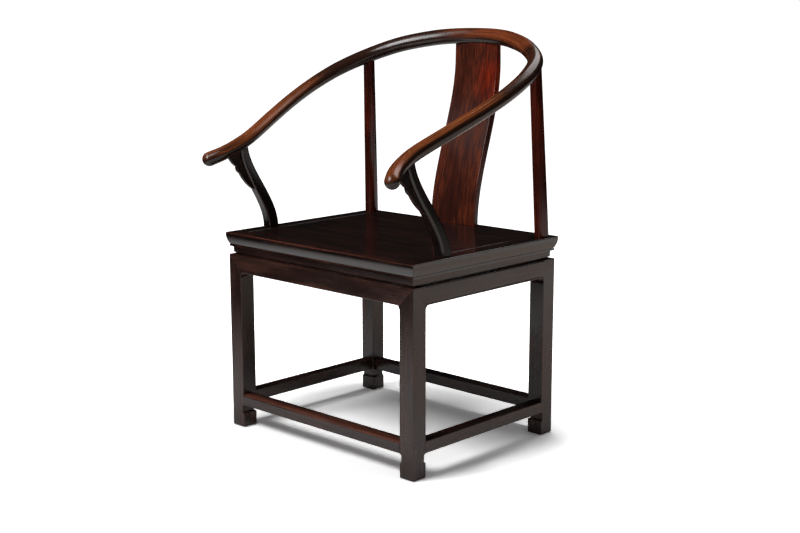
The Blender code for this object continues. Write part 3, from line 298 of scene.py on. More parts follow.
# Name, lacquer, warmer wood in it, worn wood, share of the warmer wood, roughness, shine, and how fine
# the streaks are along the grain
WOODS = (
    ("seat_wood", INK, UMBER, REDDISH, 0.6, 0.16, 0.70, 6),
    ("base_wood", BLACK, BROWN, REDDISH, 0.5, 0.24, 0.50, 6),
    ("worn_foot_wood", BLACK, BROWN, ROSE, 0.5, 0.26, 0.50, 6),
    ("post_wood", DARK_RED, RED, REDDISH, 0.5, 0.14, 0.50, 6),
    ("arm_post_wood", INK, UMBER, REDDISH, 0.5, 0.20, 0.50, 6),
    # A darker, duller copy of the arm posts' wood: painted shade on the brackets
    ("bracket_wood", INK, UMBER, REDDISH, 0.4, 0.30, 0.15, 6),
    ("splat_wood", PLUM, RUSSET, BRIGHT_RED, 0.7, 0.18, 0.36, 20),
    ("crest_wood", DARK_BROWN, UMBER, ORANGE, 0.5, 0.21, 0.50, 6),
    ("worn_arm_wood", DARK_BROWN, UMBER, AMBER, 0.5, 0.20, 0.38, 6),
)
HIDDEN_WOOD = ("hidden_wood", BLACK, BROWN, REDDISH, 0.5, 0.35, 0.50, 6)
# Pieces that are darker than the rest of their slot; on the brackets the darker, duller wood is painted
# shade
OWN_LOOKS = {"arm_post": "arm_post_wood", "arm_bracket": "bracket_wood"}

# Camera, solved from the photograph
CAMERA_AZIMUTH = 43.7062
CAMERA_ELEVATION = 11.0242
CAMERA_ROLL = -0.0965
CAMERA_DISTANCE = 3.3757
CAMERA_TARGET = (0.0173, 0.00823, 0.4177)
CAMERA_FOCAL_PIXELS = 1359.862
IMAGE_WIDTH = 800
SENSOR_WIDTH = 36

# Floor, surroundings and lamps
FLOOR_REACH = 60
FLOOR_COLOUR = (0.97, 0.97, 0.97)
FLOOR_ROUGHNESS = 0.9
# How much brighter the camera sees the lamps' light on the floor
FLOOR_GAIN = 0.7
# Its own glow as the camera sees it rises to plain white, from start to end in half widths and half
# depths of the seat from its middle
FLOOR_GLOW_NEAR = 0.06
FLOOR_GLOW_START = 1.2
FLOOR_GLOW_END = 2.4
FILL_STRENGTH = 0.10
STUDIO_GLOOM = 0.005
# Part of the floor that the polished wood mirrors, round its middle; past its edge the wood mirrors
# the dark studio
POOL_MIDDLE = (1.6, 1.4, 0.0)
POOL_EDGE_START = 2.9
POOL_EDGE_END = 3.9
# Its glow far off, in half widths and half depths of the seat as well
POOL_GLOW = 0.6
POOL_GLOW_START = 3.0
POOL_GLOW_END = 9.0
# In gloss alone it is warmer towards the back right, a painted warm reflection on the wood: start and
# end along both axes added up
POOL_WARM = (1.0, 0.82, 0.70)
POOL_WARM_START = 0.1
POOL_WARM_END = 1.6
# Name, direction from the front, height angle, distance, width, height, power in watts, whether
# it lights dull surfaces, and whether gloss mirrors it
LAMPS = (
    ("front_lamp", -12, 44, 2.8, 1.2, 0.9, 58, True, False),
    ("top_lamp", 165, 82, 2.8, 0.6, 0.5, 46, True, False),
    ("right_lamp", 110, 30, 3.0, 2.0, 1.4, 4, True, False),
    ("grip_window", -2, 47, 2.8, 1.2, 0.8, 42, False, True),
    ("front_window", 2, 28, 3.0, 1.1, 1.0, 42, False, True),
    ("back_window", 175, 50, 2.8, 2.0, 1.4, 26, False, True),
    ("left_window", -46, 54, 3.0, 0.7, 0.6, 5, False, True),
    ("left_reflector", -45, 25, 8.0, 3.2, 0.8, 5.6, False, True),
)
LAMP_AIM = (0, 0, 0.55)

# Places worked out from the sizes above
HALF_WIDTH = SEAT_WIDTH / 2
HALF_DEPTH = SEAT_DEPTH / 2
FRAME_BOTTOM = SEAT_HEIGHT - FRAME_THICKNESS
APRON_TOP = FRAME_BOTTOM - WAIST_HEIGHT
APRON_BOTTOM = APRON_TOP - APRON_HEIGHT
LEG_INNER = LEG_INSET + LEG_SIDE
STRETCHER_BOTTOM = STRETCHER_TOP - STRETCHER_HEIGHT
UP = Vector((0, 0, 1))
MIRROR_X = Matrix.Diagonal((-1, 1, 1, 1))
MIRROR_Y = Matrix.Diagonal((1, -1, 1, 1))


def smooth_step(share):
    """Rises from 0 to 1 with a level start and end."""
    share = min(max(share, 0.0), 1.0)
    return share * share * (3 - 2 * share)


def mix(start, end, share):
    """A value or point between two others."""
    return start + (end - start) * share


def direction(azimuth, elevation):
    """Unit vector towards a lamp or the camera; azimuth 0 is in front of the chair."""
    flat = math.cos(math.radians(elevation))
    return Vector((
        math.sin(math.radians(azimuth)) * flat,
        -math.cos(math.radians(azimuth)) * flat,
        math.sin(math.radians(elevation)),
    ))


def quarter_turn(steps):
    """Sine and cosine of the angles from 0 to 90 degrees."""
    angles = [math.radians(90) * step / steps for step in range(steps + 1)]
    return [(math.sin(angle), math.cos(angle)) for angle in angles]


def catmull_rom(before, start, end, after, share):
    """A point on the smooth curve between two stations."""
    return 0.5 * (
        2 * start
        + (end - before) * share
        + (2 * before - 5 * start + 4 * end - after) * share ** 2
        + (3 * start - before - 3 * end + after) * share ** 3
    )


# Meshes

def add_object(name, data):
    """An object of a mesh, lamp or camera in the scene."""
    item = bpy.data.objects.new(name, data)
    bpy.context.scene.collection.objects.link(item)
    return item


def object_from_bmesh(name, bm):
    """Turns an edit mesh into an object with its faces pointing out."""
    bmesh.ops.recalc_face_normals(bm, faces=bm.faces)
    mesh = bpy.data.meshes.new(name)
    bm.to_mesh(mesh)
    bm.free()
    return add_object(name, mesh)


def loft(name, rings):
    """A closed skin over rings that all have the same number of points."""
    bm = bmesh.new()
    rows = [[bm.verts.new(point) for point in ring] for ring in rings]
    count = len(rows[0])
    for row, other in zip(rows, rows[1:]):
        for index in range(count):
            following = (index + 1) % count
            bm.faces.new((row[index], row[following], other[following], other[index]))
    bm.faces.new(rows[0])
    bm.faces.new(rows[-1])
    return object_from_bmesh(name, bm)


def extrusion(name, outline, thickness):
    """A plate in the YZ plane, centred on X."""
    half = thickness / 2
    return loft(name, [[(side, y, z) for y, z in outline] for side in (-half, half)])


def apply_modifiers(item):
    """Fixes the result of an object's modifiers in its mesh."""
    bpy.context.view_layer.update()
    graph = bpy.context.evaluated_depsgraph_get()
    item.data = bpy.data.meshes.new_from_object(item.evaluated_get(graph))
    item.modifiers.clear()


def cut(target, *tools):
    """Cuts tools out of a piece, fixes the result and takes the tools away."""
    for tool in tools:
        modifier = target.modifiers.new(tool.name, "BOOLEAN")
        modifier.object = tool
        modifier.operation = "DIFFERENCE"
        modifier.solver = "EXACT"
    apply_modifiers(target)
    for tool in tools:
        bpy.data.objects.remove(tool, do_unlink=True)


def mirrored(source, name, mirror):
    """A mirrored copy of a piece."""
    mesh = source.data.copy()
    mesh.transform(mirror)
    if mirror.determinant() < 0:
        mesh.flip_normals()
    return add_object(name, mesh)


def shade(item):
    """Smooth shading that keeps flat faces flat and real edges sharp."""
    item.data.shade_smooth()
    item.data.set_sharp_from_angle(angle=math.radians(SHARP_DEGREES))
    modifier = item.modifiers.new("weighted_normals", "WEIGHTED_NORMAL")
    modifier.keep_sharp = True
    return item


def rounded_box_outline(low, high, radii, steps=ARRIS_STEPS, columns=1):
    """A rectangle with rounded corners, anticlockwise from the lower left; one radius a corner."""
    corners = (
        (low[0], low[1], 1, 1),
        (high[0], low[1], -1, 1),
        (high[0], high[1], -1, -1),
        (low[0], high[1], 1, -1),
    )
    outline = []
    for index, ((x, y, in_x, in_y), radius) in enumerate(zip(corners, radii)):
        turns = quarter_turn(steps)
        if index % 2 == 0:
            turns = [(cosine, sine) for sine, cosine in turns]
        for sine, cosine in turns:
            outline.append((x + in_x * radius * (1 - sine), y + in_y * radius * (1 - cosine)))
    if columns == 1:
        return outline
    filled = []
    for start, end in zip(outline, outline[1:] + outline[:1]):
        reach = math.dist(start, end)
        parts = columns if reach > (high[0] - low[0]) / 2 else 1
        for step in range(parts):
            filled.append((
                mix(start[0], end[0], step / parts),
                mix(start[1], end[1], step / parts),
            ))
    return filled


def spread(start, end, spacing):
    """Evenly spaced values from start to end."""
    count = max(1, round(abs(end - start) / spacing))
    return [mix(start, end, step / count) for step in range(count + 1)]


# The rail's centre line

def rail_line():
    """Fine points of the rail's centre line with the length up to each."""
    half = []
    for width_share, reach_share, rise_share in RAIL_STATION_SHARES:
        reach = RAIL_BACK_REACH if reach_share > 0 else RAIL_FRONT_REACH
        rise = mix(GRIP_HEIGHT, CREST_HEIGHT, rise_share)
        half.append(Vector((width_share * RAIL_HALF_WIDTH, reach_share * reach, rise)))
    stations = half + [Vector((-point.x, point.y, point.z)) for point in reversed(half[:-1])]
    padded = [2 * stations[0] - stations[1]] + stations + [2 * stations[-1] - stations[-2]]
    points = []
    for index in range(len(stations) - 1):
        for step in range(RAIL_STEPS):
            points.append(catmull_rom(*padded[index:index + 4], step / RAIL_STEPS))
    points.append(stations[-1])
    lengths = [0.0]
    for start, end in zip(points, points[1:]):
        lengths.append(lengths[-1] + (end - start).length)
    return points, lengths


RAIL_POINTS, RAIL_LENGTHS = rail_line()
RAIL_HALF_LENGTH = RAIL_LENGTHS[-1] / 2


def rail_at(share):
    """Point of the rail at a share of its half length: 0 right grip, 1 crest, 2 left grip."""
    target = share * RAIL_HALF_LENGTH
    index = min(max(bisect.bisect_right(RAIL_LENGTHS, target) - 1, 0), len(RAIL_POINTS) - 2)
    span = RAIL_LENGTHS[index + 1] - RAIL_LENGTHS[index]
    step = (target - RAIL_LENGTHS[index]) / span
    return mix(RAIL_POINTS[index], RAIL_POINTS[index + 1], step)


def rail_axes(share):
    """Directions along the rail, across it towards the outside, and up from it."""
    stride = RAIL_SPACING / RAIL_HALF_LENGTH
    along = (rail_at(share + stride) - rail_at(share - stride)).normalized()
    across = along.cross(UP).normalized()
    return along, across, across.cross(along)


def rail_radius(share):
    """Radius of the rail at a share of its half length."""
    share = min(share, 2 - share)
    swell_span = RAIL_SWELL_END_SHARE - RAIL_SWELL_START_SHARE
    swell = smooth_step((share - RAIL_SWELL_START_SHARE) / swell_span)
    grip = smooth_step(1 - share / GRIP_SWELL_SHARE)
    arm = mix(RAIL_ARM_RADIUS, GRIP_RADIUS, grip)
    return mix(arm, RAIL_CREST_RADIUS, swell)


def rail_ring(share, radius):
    """Points round the rail."""
    middle = rail_at(share)
    across, upward = rail_axes(share)[1:]
    ring = []
    for side in range(RAIL_SIDES):
        angle = math.radians(360) * side / RAIL_SIDES
        ring.append(middle + across * radius * math.cos(angle) + upward * radius * math.sin(angle))
    return ring


def rail_tube(name, start, end, grow=0.0):
    """A length of the rail, domed where it starts at the right grip."""
    rings = []
    if start == 0:
        for step in range(1, DOME_STEPS + 1):
            angle = math.radians(90) * step / (DOME_STEPS + 1)
            share = GRIP_RADIUS * (1 - math.cos(angle)) / RAIL_HALF_LENGTH
            rings.append(rail_ring(share, rail_radius(share) * math.sin(angle) + grow))
        start = GRIP_RADIUS / RAIL_HALF_LENGTH
    for share in spread(start, end, RAIL_SPACING / RAIL_HALF_LENGTH):
        rings.append(rail_ring(share, rail_radius(share) + grow))
    return loft(name, rings)


def scarf_waste(name, end):
    """Waste of the lap on the arm (end 1) or on the crest (end -1)."""
    gap = CLEARANCE / 2
    reach = RAIL_CREST_RADIUS + OVERRUN
    lap = SCARF_LENGTH / 2
    far = lap + reach
    outline = [
        (-lap - gap, -reach),
        (-lap - gap, gap),
        (lap - gap, gap),
        (lap - gap, reach),
        (far, reach),
        (far, -reach),
    ]
    outline = [(along * end, up * end) for along, up in outline]
    tool = extrusion(name, outline, 2 * reach)
    along = rail_axes(SCARF_SHARE)[0]
    across = UP.cross(along).normalized()
    # Known fault: these axes are left-handed and turn the tool inside out, so it removes nothing
    place = Matrix((across, along, along.cross(across))).transposed().to_4x4()
    place.translation = rail_at(SCARF_SHARE)
    tool.data.transform(place)
    return tool


# Frames, waist and aprons

def mitred_bar(name, half, place, outline, corner=0.0):
    """A bar along X with mitred ends and its outer face towards -Y, put in place.

    The outline is (depth in from the outer face, height, how far it joins in the rounded corner).
    """
    diagonal = math.sqrt(0.5)
    gap = CLEARANCE * diagonal / 2
    turns = quarter_turn(2 * ARRIS_STEPS)[:ARRIS_STEPS + 1]
    ends = []
    for sine, cosine in turns:
        ring = []
        for depth, height, joins in outline:
            run = corner * (mix(diagonal, 1, joins) - sine)
            ring.append((half - depth - run - gap, depth + joins * corner * (1 - cosine), height))
        ends.append(ring)
    inner = half - max(depth for depth, height, joins in outline) - corner - OVERRUN
    middle = [
        [(x, depth, height) for depth, height, joins in outline]
        for x in spread(-inner, inner, COLUMN_SPACING)
    ]
    left = [[(-x, y, z) for x, y, z in ring] for ring in reversed(ends)]
    bar = loft(name, left + middle + ends)
    bar.data.transform(place)
    return bar


def front_place():
    """Puts a bar's outer face on the front edge of the seat."""
    return Matrix.Translation((0, -HALF_DEPTH, 0))


def right_place():
    """Puts a bar's outer face on the right edge of the seat."""
    return Matrix.Translation((HALF_WIDTH, 0, 0)) @ Matrix.Rotation(math.radians(90), 4, "Z")


def frame_outline():
    """Section of a seat frame member with its moulded edge."""
    top = SEAT_HEIGHT
    fall = FRAME_THICKNESS - FRAME_EDGE_FLAT - FRAME_EDGE_LIP
    outline = []
    for sine, cosine in quarter_turn(ARRIS_STEPS):
        outline.append((FRAME_ARRIS * (1 - sine), top - FRAME_ARRIS * (1 - cosine), 1))
    for step in range(FRAME_EDGE_STEPS + 1):
        share = step / FRAME_EDGE_STEPS
        depth = FRAME_EDGE_INSET * share ** FRAME_EDGE_BULGE
        outline.append((depth, top - FRAME_EDGE_FLAT - fall * share, 1))
    lip = FRAME_BOTTOM + FRAME_EDGE_LIP
    outline += [
        (FRAME_EDGE_INSET + FRAME_QUIRK, lip, 1),
        (FRAME_EDGE_INSET + FRAME_QUIRK, lip - FRAME_QUIRK, 1),
        (FRAME_EDGE_INSET, lip - FRAME_QUIRK, 1),
        (FRAME_EDGE_INSET, FRAME_BOTTOM, 1),
        (FRAME_WIDTH, FRAME_BOTTOM, 0),
        (FRAME_WIDTH, top - BOARD_ARRIS, 0),
        (FRAME_WIDTH - BOARD_ARRIS, top, 0),
    ]
    return outline


def waist_outline():
    """Section of a waist strip with the shadow groove at its foot."""
    bottom = APRON_TOP + CLEARANCE
    top = FRAME_BOTTOM - CLEARANCE
    shadow = bottom + WAIST_SHADOW_HEIGHT
    foot = WAIST_INSET + WAIST_DRAFT
    inner = WAIST_INSET + WAIST_THICKNESS
    return [
        (WAIST_INSET, top, 1),
        (foot, shadow, 1),
        (foot + WAIST_SHADOW_DEPTH, shadow, 1),
        (foot + WAIST_SHADOW_DEPTH, bottom, 1),
        (inner, bottom, 0),
        (inner, top, 0),
    ]


def apron_outline(drop, grow=0.0):
    """Section of an apron: softened shoulder at the top and a bead along the lower edge."""
    face = LEG_INSET - grow
    inner = LEG_INSET + APRON_THICKNESS + grow
    top = APRON_TOP + grow
    bottom = APRON_BOTTOM - drop - grow
    outline = []
    for sine, cosine in quarter_turn(ARRIS_STEPS):
        outline.append((face + APRON_SHOULDER * (1 - sine), top - APRON_SHOULDER * (1 - cosine)))
    half = APRON_BEAD / 2
    outline.append((face, bottom + APRON_BEAD + half))
    for step in range(2 * ARRIS_STEPS + 1):
        angle = math.radians(180) * step / (2 * ARRIS_STEPS)
        depth = face - APRON_BEAD_PROUD * math.sin(angle)
        outline.append((depth, bottom + half + half * math.cos(angle)))
    outline += [(inner, bottom), (inner, top)]
    return outline


def apron_bar(name, half, place, grow=0.0):
    """An apron that ends in a slanting mitre and small fillets, put in place."""
    gap = CLEARANCE / 2 - grow
    inner = half - LEG_INNER - gap
    outer = half - LEG_INSET - gap
    slant = (outer - inner) / APRON_HEIGHT
    rings = []
    for x in spread(0, inner - APRON_CORNER, COLUMN_SPACING):
        rings.append([(x, depth, height) for depth, height in apron_outline(0, grow)])
    for sine, cosine in quarter_turn(2 * ARRIS_STEPS)[1:]:
        x = inner - APRON_CORNER * (1 - sine)
        drop = APRON_CORNER * (1 - cosine)
        rings.append([(x, depth, height) for depth, height in apron_outline(drop, grow)])
    last = []
    for x, depth, height in rings[-1]:
        run = max(height - APRON_BOTTOM, 0) * slant
        last.append((min(inner + run, half - depth - gap * math.sqrt(2)), depth, height))
    rings[-1] = last
    left = [[(-x, y, z) for x, y, z in ring] for ring in reversed(rings[1:])]
    bar = loft(name, left + rings)
    bar.data.transform(place)
    return bar


# Legs and stretchers

def hoof_depth(height):
    """How far the two inner faces are scooped out at a height."""
    top = STRETCHER_BOTTOM - CLEARANCE
    if not HOOF_HEIGHT < height < top:
        return 0.0
    near = min(height - HOOF_HEIGHT, top - height)
    share = min(near / HOOF_NOTCH_SOFTNESS, 1)
    return HOOF_NOTCH * math.sqrt(1 - (1 - share) ** 2)


def leg_heights():
    """Heights of the rings of a leg up to the top of the aprons."""
    heights = [HOOF_EDGE * (1 - cosine) for sine, cosine in quarter_turn(ARRIS_STEPS)]
    top = STRETCHER_BOTTOM - CLEARANCE
    scoop = [HOOF_NOTCH_SOFTNESS * (1 - sine) for sine, cosine in quarter_turn(2 * ARRIS_STEPS)]
    heights += [HOOF_HEIGHT + rise for rise in reversed(scoop)]
    heights += [top - rise for rise in scoop]
    return heights + spread(STRETCHER_BOTTOM, APRON_TOP, COLUMN_SPACING)


def leg_blank(name):
    """The front right leg before the aprons are let in; depths are from the seat's edges."""
    rings = []
    for height in leg_heights():
        pull = 0.0
        if height < HOOF_EDGE:
            share = 1 - height / HOOF_EDGE
            pull = HOOF_EDGE * (1 - math.sqrt(1 - share ** 2))
        low = LEG_INSET + pull
        high = LEG_INNER - pull - hoof_depth(height)
        ring = rounded_box_outline((low, low), (high, high), [LEG_ARRIS] * 4)
        rings.append([(HALF_WIDTH - u, v - HALF_DEPTH, height) for u, v in ring])
    head_low = WAIST_INSET + WAIST_THICKNESS + CLEARANCE
    head_high = LEG_INNER - LEG_ARRIS
    for height in (APRON_TOP, FRAME_BOTTOM - CLEARANCE):
        ring = rounded_box_outline((head_low, head_low), (head_high, head_high), [LEG_ARRIS] * 4)
        rings.append([(HALF_WIDTH - u, v - HALF_DEPTH, height) for u, v in ring])
    return loft(name, rings)


def make_leg():
    """The front right leg with the aprons let into it."""
    leg = leg_blank("leg_front_right_wood")
    across_space = apron_bar("apron_x_space", HALF_WIDTH, front_place(), CLEARANCE / 2)
    back_space = apron_bar("apron_y_space", HALF_DEPTH, right_place(), CLEARANCE / 2)
    cut(leg, across_space, back_space)
    return leg


def stretcher(name, half, place, wear):
    """A stretcher along X with its outer face flush with the legs."""
    inner = half - LEG_INNER - CLEARANCE
    low = (LEG_INSET, STRETCHER_BOTTOM)
    high = (LEG_INSET + STRETCHER_WIDTH, STRETCHER_TOP)
    rings = []
    for x in spread(-inner, inner, COLUMN_SPACING):
        radii = (STRETCHER_ARRIS, STRETCHER_ARRIS, STRETCHER_ARRIS, wear)
        ring = rounded_box_outline(low, high, radii)
        rings.append([(x, depth, height) for depth, height in ring])
    bar = loft(name, rings)
    bar.data.transform(place)
    return bar


def board(name, end):
    """One seat board with a fine arris round its top."""
    reach = HALF_DEPTH - FRAME_WIDTH - CLEARANCE
    inner = HALF_WIDTH - FRAME_WIDTH - CLEARANCE
    joint = end * CLEARANCE / 2
    low = Vector((-inner, min(joint, end * reach)))
    high = Vector((inner, max(joint, end * reach)))
    rings = []
    for pull, height in (
        (0, SEAT_HEIGHT - BOARD_THICKNESS),
        (0, SEAT_HEIGHT - BOARD_ARRIS),
        (BOARD_ARRIS, SEAT_HEIGHT),
    ):
        inset = Vector((pull, pull))
        radii = [BOARD_ARRIS] * 4
        ring = rounded_box_outline(low + inset, high - inset, radii, BOARD_ARRIS_STEPS)
        rings.append([(x, y, height) for x, y in ring])
    return loft(name, rings)


# Posts, brackets and splat

def arm_post_base():
    """Middle of the right arm post on the seat."""
    return Vector((HALF_WIDTH - ARM_POST_INSET, -ARM_POST_FORWARD, SEAT_HEIGHT))


def arm_post_top():
    """Top of the right arm post inside the rail."""
    return rail_at(ARM_POST_SHARE) + Vector((ARM_POST_TOP_OUT, 0, 0))


def arm_post_middle(share):
    """Middle of the right arm post at a share of its height: an S from seat to rail."""
    base = arm_post_base()
    top = arm_post_top()
    place = mix(base, top, share)
    place.y = mix(base.y, top.y, smooth_step(share))
    return place


def arm_post_body(name, grow=0.0, start=0.0, end=1.0):
    """S-shaped tapering post with softly rounded corners."""
    stride = 1 / ARM_POST_STEPS
    rise = arm_post_top().z - SEAT_HEIGHT
    rings = []
    for step in range(ARM_POST_STEPS + 1):
        share = mix(start, end, step / ARM_POST_STEPS)
        half = mix(ARM_POST_BASE_SIDE, ARM_POST_TOP_SIDE, share) / 2 + grow
        middle = arm_post_middle(share)
        slope = arm_post_middle(share + stride) - arm_post_middle(share - stride)
        run = math.hypot(slope.y, slope.z)
        ring = []
        radii = [ARM_POST_EDGE] * 4
        outline = rounded_box_outline((-half, -half), (half, half), radii, ARM_POST_EDGE_STEPS)
        for across, back in outline:
            y = middle.y + back * slope.z / run
            z = middle.z - back * slope.y / run
            lean = arm_post_middle((z - SEAT_HEIGHT) / rise).x
            ring.append((lean + across, y, z))
        rings.append(ring)
    return loft(name, rings)


def seat_waste(name):
    """Everything below the seat top, to trim the foot of a post or the splat."""
    reach = SEAT_WIDTH
    outline = [(-reach, SEAT_HEIGHT - 2 * OVERRUN), (reach, SEAT_HEIGHT - 2 * OVERRUN)]
    outline += [(reach, SEAT_HEIGHT + CLEARANCE), (-reach, SEAT_HEIGHT + CLEARANCE)]
    return extrusion(name, outline, 2 * reach)


def make_arm_post():
    """The right arm post, coped under the rail."""
    post = arm_post_body("arm_post_right_wood", start=ARM_POST_FOOT_SHARE)
    cut(post, seat_waste("post_foot"), rail_tube("post_cope", *ARM_COPE_SHARES, CLEARANCE))
    return post


def make_back_post():
    """The right back post, coped under the rail."""
    base = Vector((HALF_WIDTH - BACK_POST_INSET, HALF_DEPTH - BACK_POST_BACK_INSET, SEAT_HEIGHT))
    top = rail_at(BACK_POST_SHARE)
    rings = []
    for step in range(BACK_POST_STEPS + 1):
        share = step / BACK_POST_STEPS
        radius = mix(BACK_POST_BASE_RADIUS, BACK_POST_TOP_RADIUS, share)
        middle = mix(base, top, share)
        if step == 0:
            middle.z += CLEARANCE
        ring = []
        for side in range(RAIL_SIDES):
            angle = math.radians(360) * side / RAIL_SIDES
            ring.append(middle + Vector((math.cos(angle), math.sin(angle), 0)) * radius)
        rings.append(ring)
    post = loft("back_post_right_wood", rings)
    cut(post, rail_tube("post_cope", *BACK_POST_COPE_SHARES, CLEARANCE))
    return post


def bracket_front():
    """Point of the rail over the front tip of the right bracket."""
    return rail_at(ARM_POST_SHARE - BRACKET_REACH / RAIL_HALF_LENGTH)


def bracket_outline():
    """Bracket outline as (y, height), carried on to the middles of the rail and the post."""
    top = arm_post_top()
    cusps = []
    for reach_share, drop_share in BRACKET_CUSP_SHARES:
        cusps.append(Vector((
            top.y - reach_share * BRACKET_REACH,
            top.z - drop_share * BRACKET_DROP,
        )))
    outline = []
    for start, end, bulge_share in zip(cusps, cusps[1:], BRACKET_BULGE_SHARES):
        chord = end - start
        out = Vector((chord.y, -chord.x)) * bulge_share
        for step in range(BRACKET_LOBE_STEPS):
            share = step / BRACKET_LOBE_STEPS
            outline.append(start + chord * share + out * 4 * share * (1 - share))
    outline.append(cusps[-1])
    foot_share = (cusps[-1].y - SEAT_HEIGHT) / (top.z - SEAT_HEIGHT)
    for step in range(BRACKET_INNER_STEPS + 1):
        middle = arm_post_middle(mix(foot_share, 1, step / BRACKET_INNER_STEPS))
        outline.append(middle.yz)
    outline.append(bracket_front().yz)
    return [tuple(point) for point in outline]


def make_bracket():
    """The right carved bracket, fitted to the rail and the post."""
    piece = extrusion("arm_bracket_right_wood", bracket_outline(), BRACKET_THICKNESS)
    soften(piece, BRACKET_SOFTNESS)
    top = arm_post_top()
    to_front = bracket_front() - top
    foot_share = 1 - BRACKET_DROP / (top.z - SEAT_HEIGHT)
    to_foot = arm_post_middle(foot_share) - top
    twist = to_front.y * to_foot.z - to_front.z * to_foot.y
    lean_back = (to_front.x * to_foot.z - to_front.z * to_foot.x) / twist
    lean_up = (to_front.y * to_foot.x - to_front.x * to_foot.y) / twist
    for vert in piece.data.vertices:
        vert.co.x += top.x + lean_back * (vert.co.y - top.y) + lean_up * (vert.co.z - top.z)
    rail_core = rail_tube("bracket_rail_core", *ARM_COPE_SHARES, -BRACKET_TONGUE)
    post_core = arm_post_body("bracket_post_core", -BRACKET_TONGUE, *BRACKET_CORE_SHARES)
    cut(piece, rail_core, post_core)
    return piece


def soften(item, radius):
    """Rounds the edges of both faces of a plate."""
    bm = bmesh.new()
    bm.from_mesh(item.data)
    edges = [edge for edge in bm.edges if abs(edge.verts[0].co.x - edge.verts[1].co.x) < CLEARANCE]
    steps = BRACKET_SOFTNESS_STEPS
    bmesh.ops.bevel(bm, geom=edges, offset=radius, segments=steps, profile=0.5, affect="EDGES")
    bm.to_mesh(item.data)
    bm.free()


def splat_middle(share):
    """Middle of the splat's thickness at a share of its height, as (y, z)."""
    base = HALF_DEPTH - SPLAT_BACK_INSET
    span = SPLAT_SWEEP_END_SHARE - SPLAT_SWEEP_START_SHARE
    sweep = smooth_step((share - SPLAT_SWEEP_START_SHARE) / span)
    return mix(base, RAIL_BACK_REACH, sweep), mix(SEAT_HEIGHT, CREST_HEIGHT, share)


def make_splat():
    """Back splat with a lengthwise sweep, coped under the rail."""
    rings = []
    for step in range(SPLAT_STEPS + 1):
        share = mix(SPLAT_FOOT_SHARE, 1, step / SPLAT_STEPS)
        swell = math.sin(math.radians(180) * max(share, 0))
        half = mix(SPLAT_END_THICKNESS, SPLAT_MIDDLE_THICKNESS, swell) / 2
        wide = mix(SPLAT_BASE_WIDTH, SPLAT_TOP_WIDTH, share) / 2
        y, z = splat_middle(share)
        above = splat_middle(share + 1 / SPLAT_STEPS)
        below = splat_middle(share - 1 / SPLAT_STEPS)
        slope = Vector((above[0] - below[0], above[1] - below[1])).normalized()
        radii = [SPLAT_EDGE] * 4
        outline = rounded_box_outline((-wide, -half), (wide, half), radii, columns=SPLAT_COLUMNS)
        rings.append([(x, y + back * slope.y, z - back * slope.x) for x, back in outline])
    splat = loft("splat_wood", rings)
    cut(splat, seat_waste("splat_foot"), rail_tube("splat_cope", *SPLAT_COPE_SHARES, CLEARANCE))
    return splat


# Where the grain runs, where hands and feet have worn the wood, and the painted highlight along rounded
# edges

def grain_along_x(point, spot):
    """Grain along X."""
    return point.x, point.y, point.z


def grain_along_y(point, spot):
    """Grain along Y."""
    return point.y, point.x, point.z


def grain_upright(point, spot):
    """Grain along Z."""
    return point.z, point.x, point.y


def grain_of_arm_post(point, spot):
    """Grain that follows the sweep of an arm post."""
    share = (point.z - SEAT_HEIGHT) / (arm_post_top().z - SEAT_HEIGHT)
    middle = arm_post_middle(share)
    return point.z, abs(point.x) - middle.x, point.y - middle.y


def grain_of_splat(point, spot):
    """Grain that follows the sweep of the splat."""
    share = (point.z - SEAT_HEIGHT) / (CREST_HEIGHT - SEAT_HEIGHT)
    return point.z, point.x, point.y - splat_middle(share)[0]


def grain_of_rail(point, spot):
    """Grain that follows the rail."""
    share, across, upward = spot
    return share * RAIL_HALF_LENGTH, across, upward


def make_rail_finder():
    """Finds the nearest point of the rail's centre line."""
    finder = KDTree(len(RAIL_POINTS))
    for index, point in enumerate(RAIL_POINTS):
        finder.insert(point, index)
    finder.balance()
    return finder


RAIL_FINDER = make_rail_finder()


def rail_spot(point):
    """Where a point is on the rail: share of the half length, and how far out and up."""
    index = RAIL_FINDER.find(point)[1]
    share = RAIL_LENGTHS[index] / RAIL_HALF_LENGTH
    along, across, upward = rail_axes(share)
    offset = point - RAIL_POINTS[index]
    share += offset.dot(along) / RAIL_HALF_LENGTH
    return share, offset.dot(across), offset.dot(upward)


def arris_wear_and_highlight(point, normal, spot):
    """Wear along rounded edges of a squared piece; its lighter wood also paints the highlight these
    edges catch.
    """
    flat = max(abs(part) for part in normal)
    return min((1 - flat) * ARRIS_WEAR_AND_HIGHLIGHT_RISE, 1) * ARRIS_WEAR_AND_HIGHLIGHT


def worn_seat_edge(point, normal, spot):
    """Wear along the outer top edge of the seat frame, most at the front."""
    edge = min(max(normal.z, 0) * (1 - normal.z) * SEAT_EDGE_WEAR_RISE, 1)
    front = smooth_step((-point.y - SEAT_WEAR_START) / SEAT_WEAR_RUN)
    outer = min(HALF_WIDTH - abs(point.x), HALF_DEPTH - abs(point.y)) < FRAME_WIDTH / 2
    top = SEAT_TOP_WEAR if outer and point.z > SEAT_HEIGHT - FRAME_ARRIS else 0.0
    edge *= mix(SEAT_EDGE_WEAR_BACK, SEAT_EDGE_WEAR_FRONT, front)
    return edge + top * mix(SEAT_TOP_WEAR_BACK_SHARE, 1, front)


def worn_front_stretcher(point, normal, spot):
    """Wear where feet rest on the front stretcher."""
    upward = smooth_step(normal.z * STRETCHER_WEAR_RISE)
    outer = smooth_step(1 - (point.y + HALF_DEPTH - LEG_INSET) / STRETCHER_WIDTH)
    return upward * mix(STRETCHER_WEAR_INNER_SHARE, 1, outer)


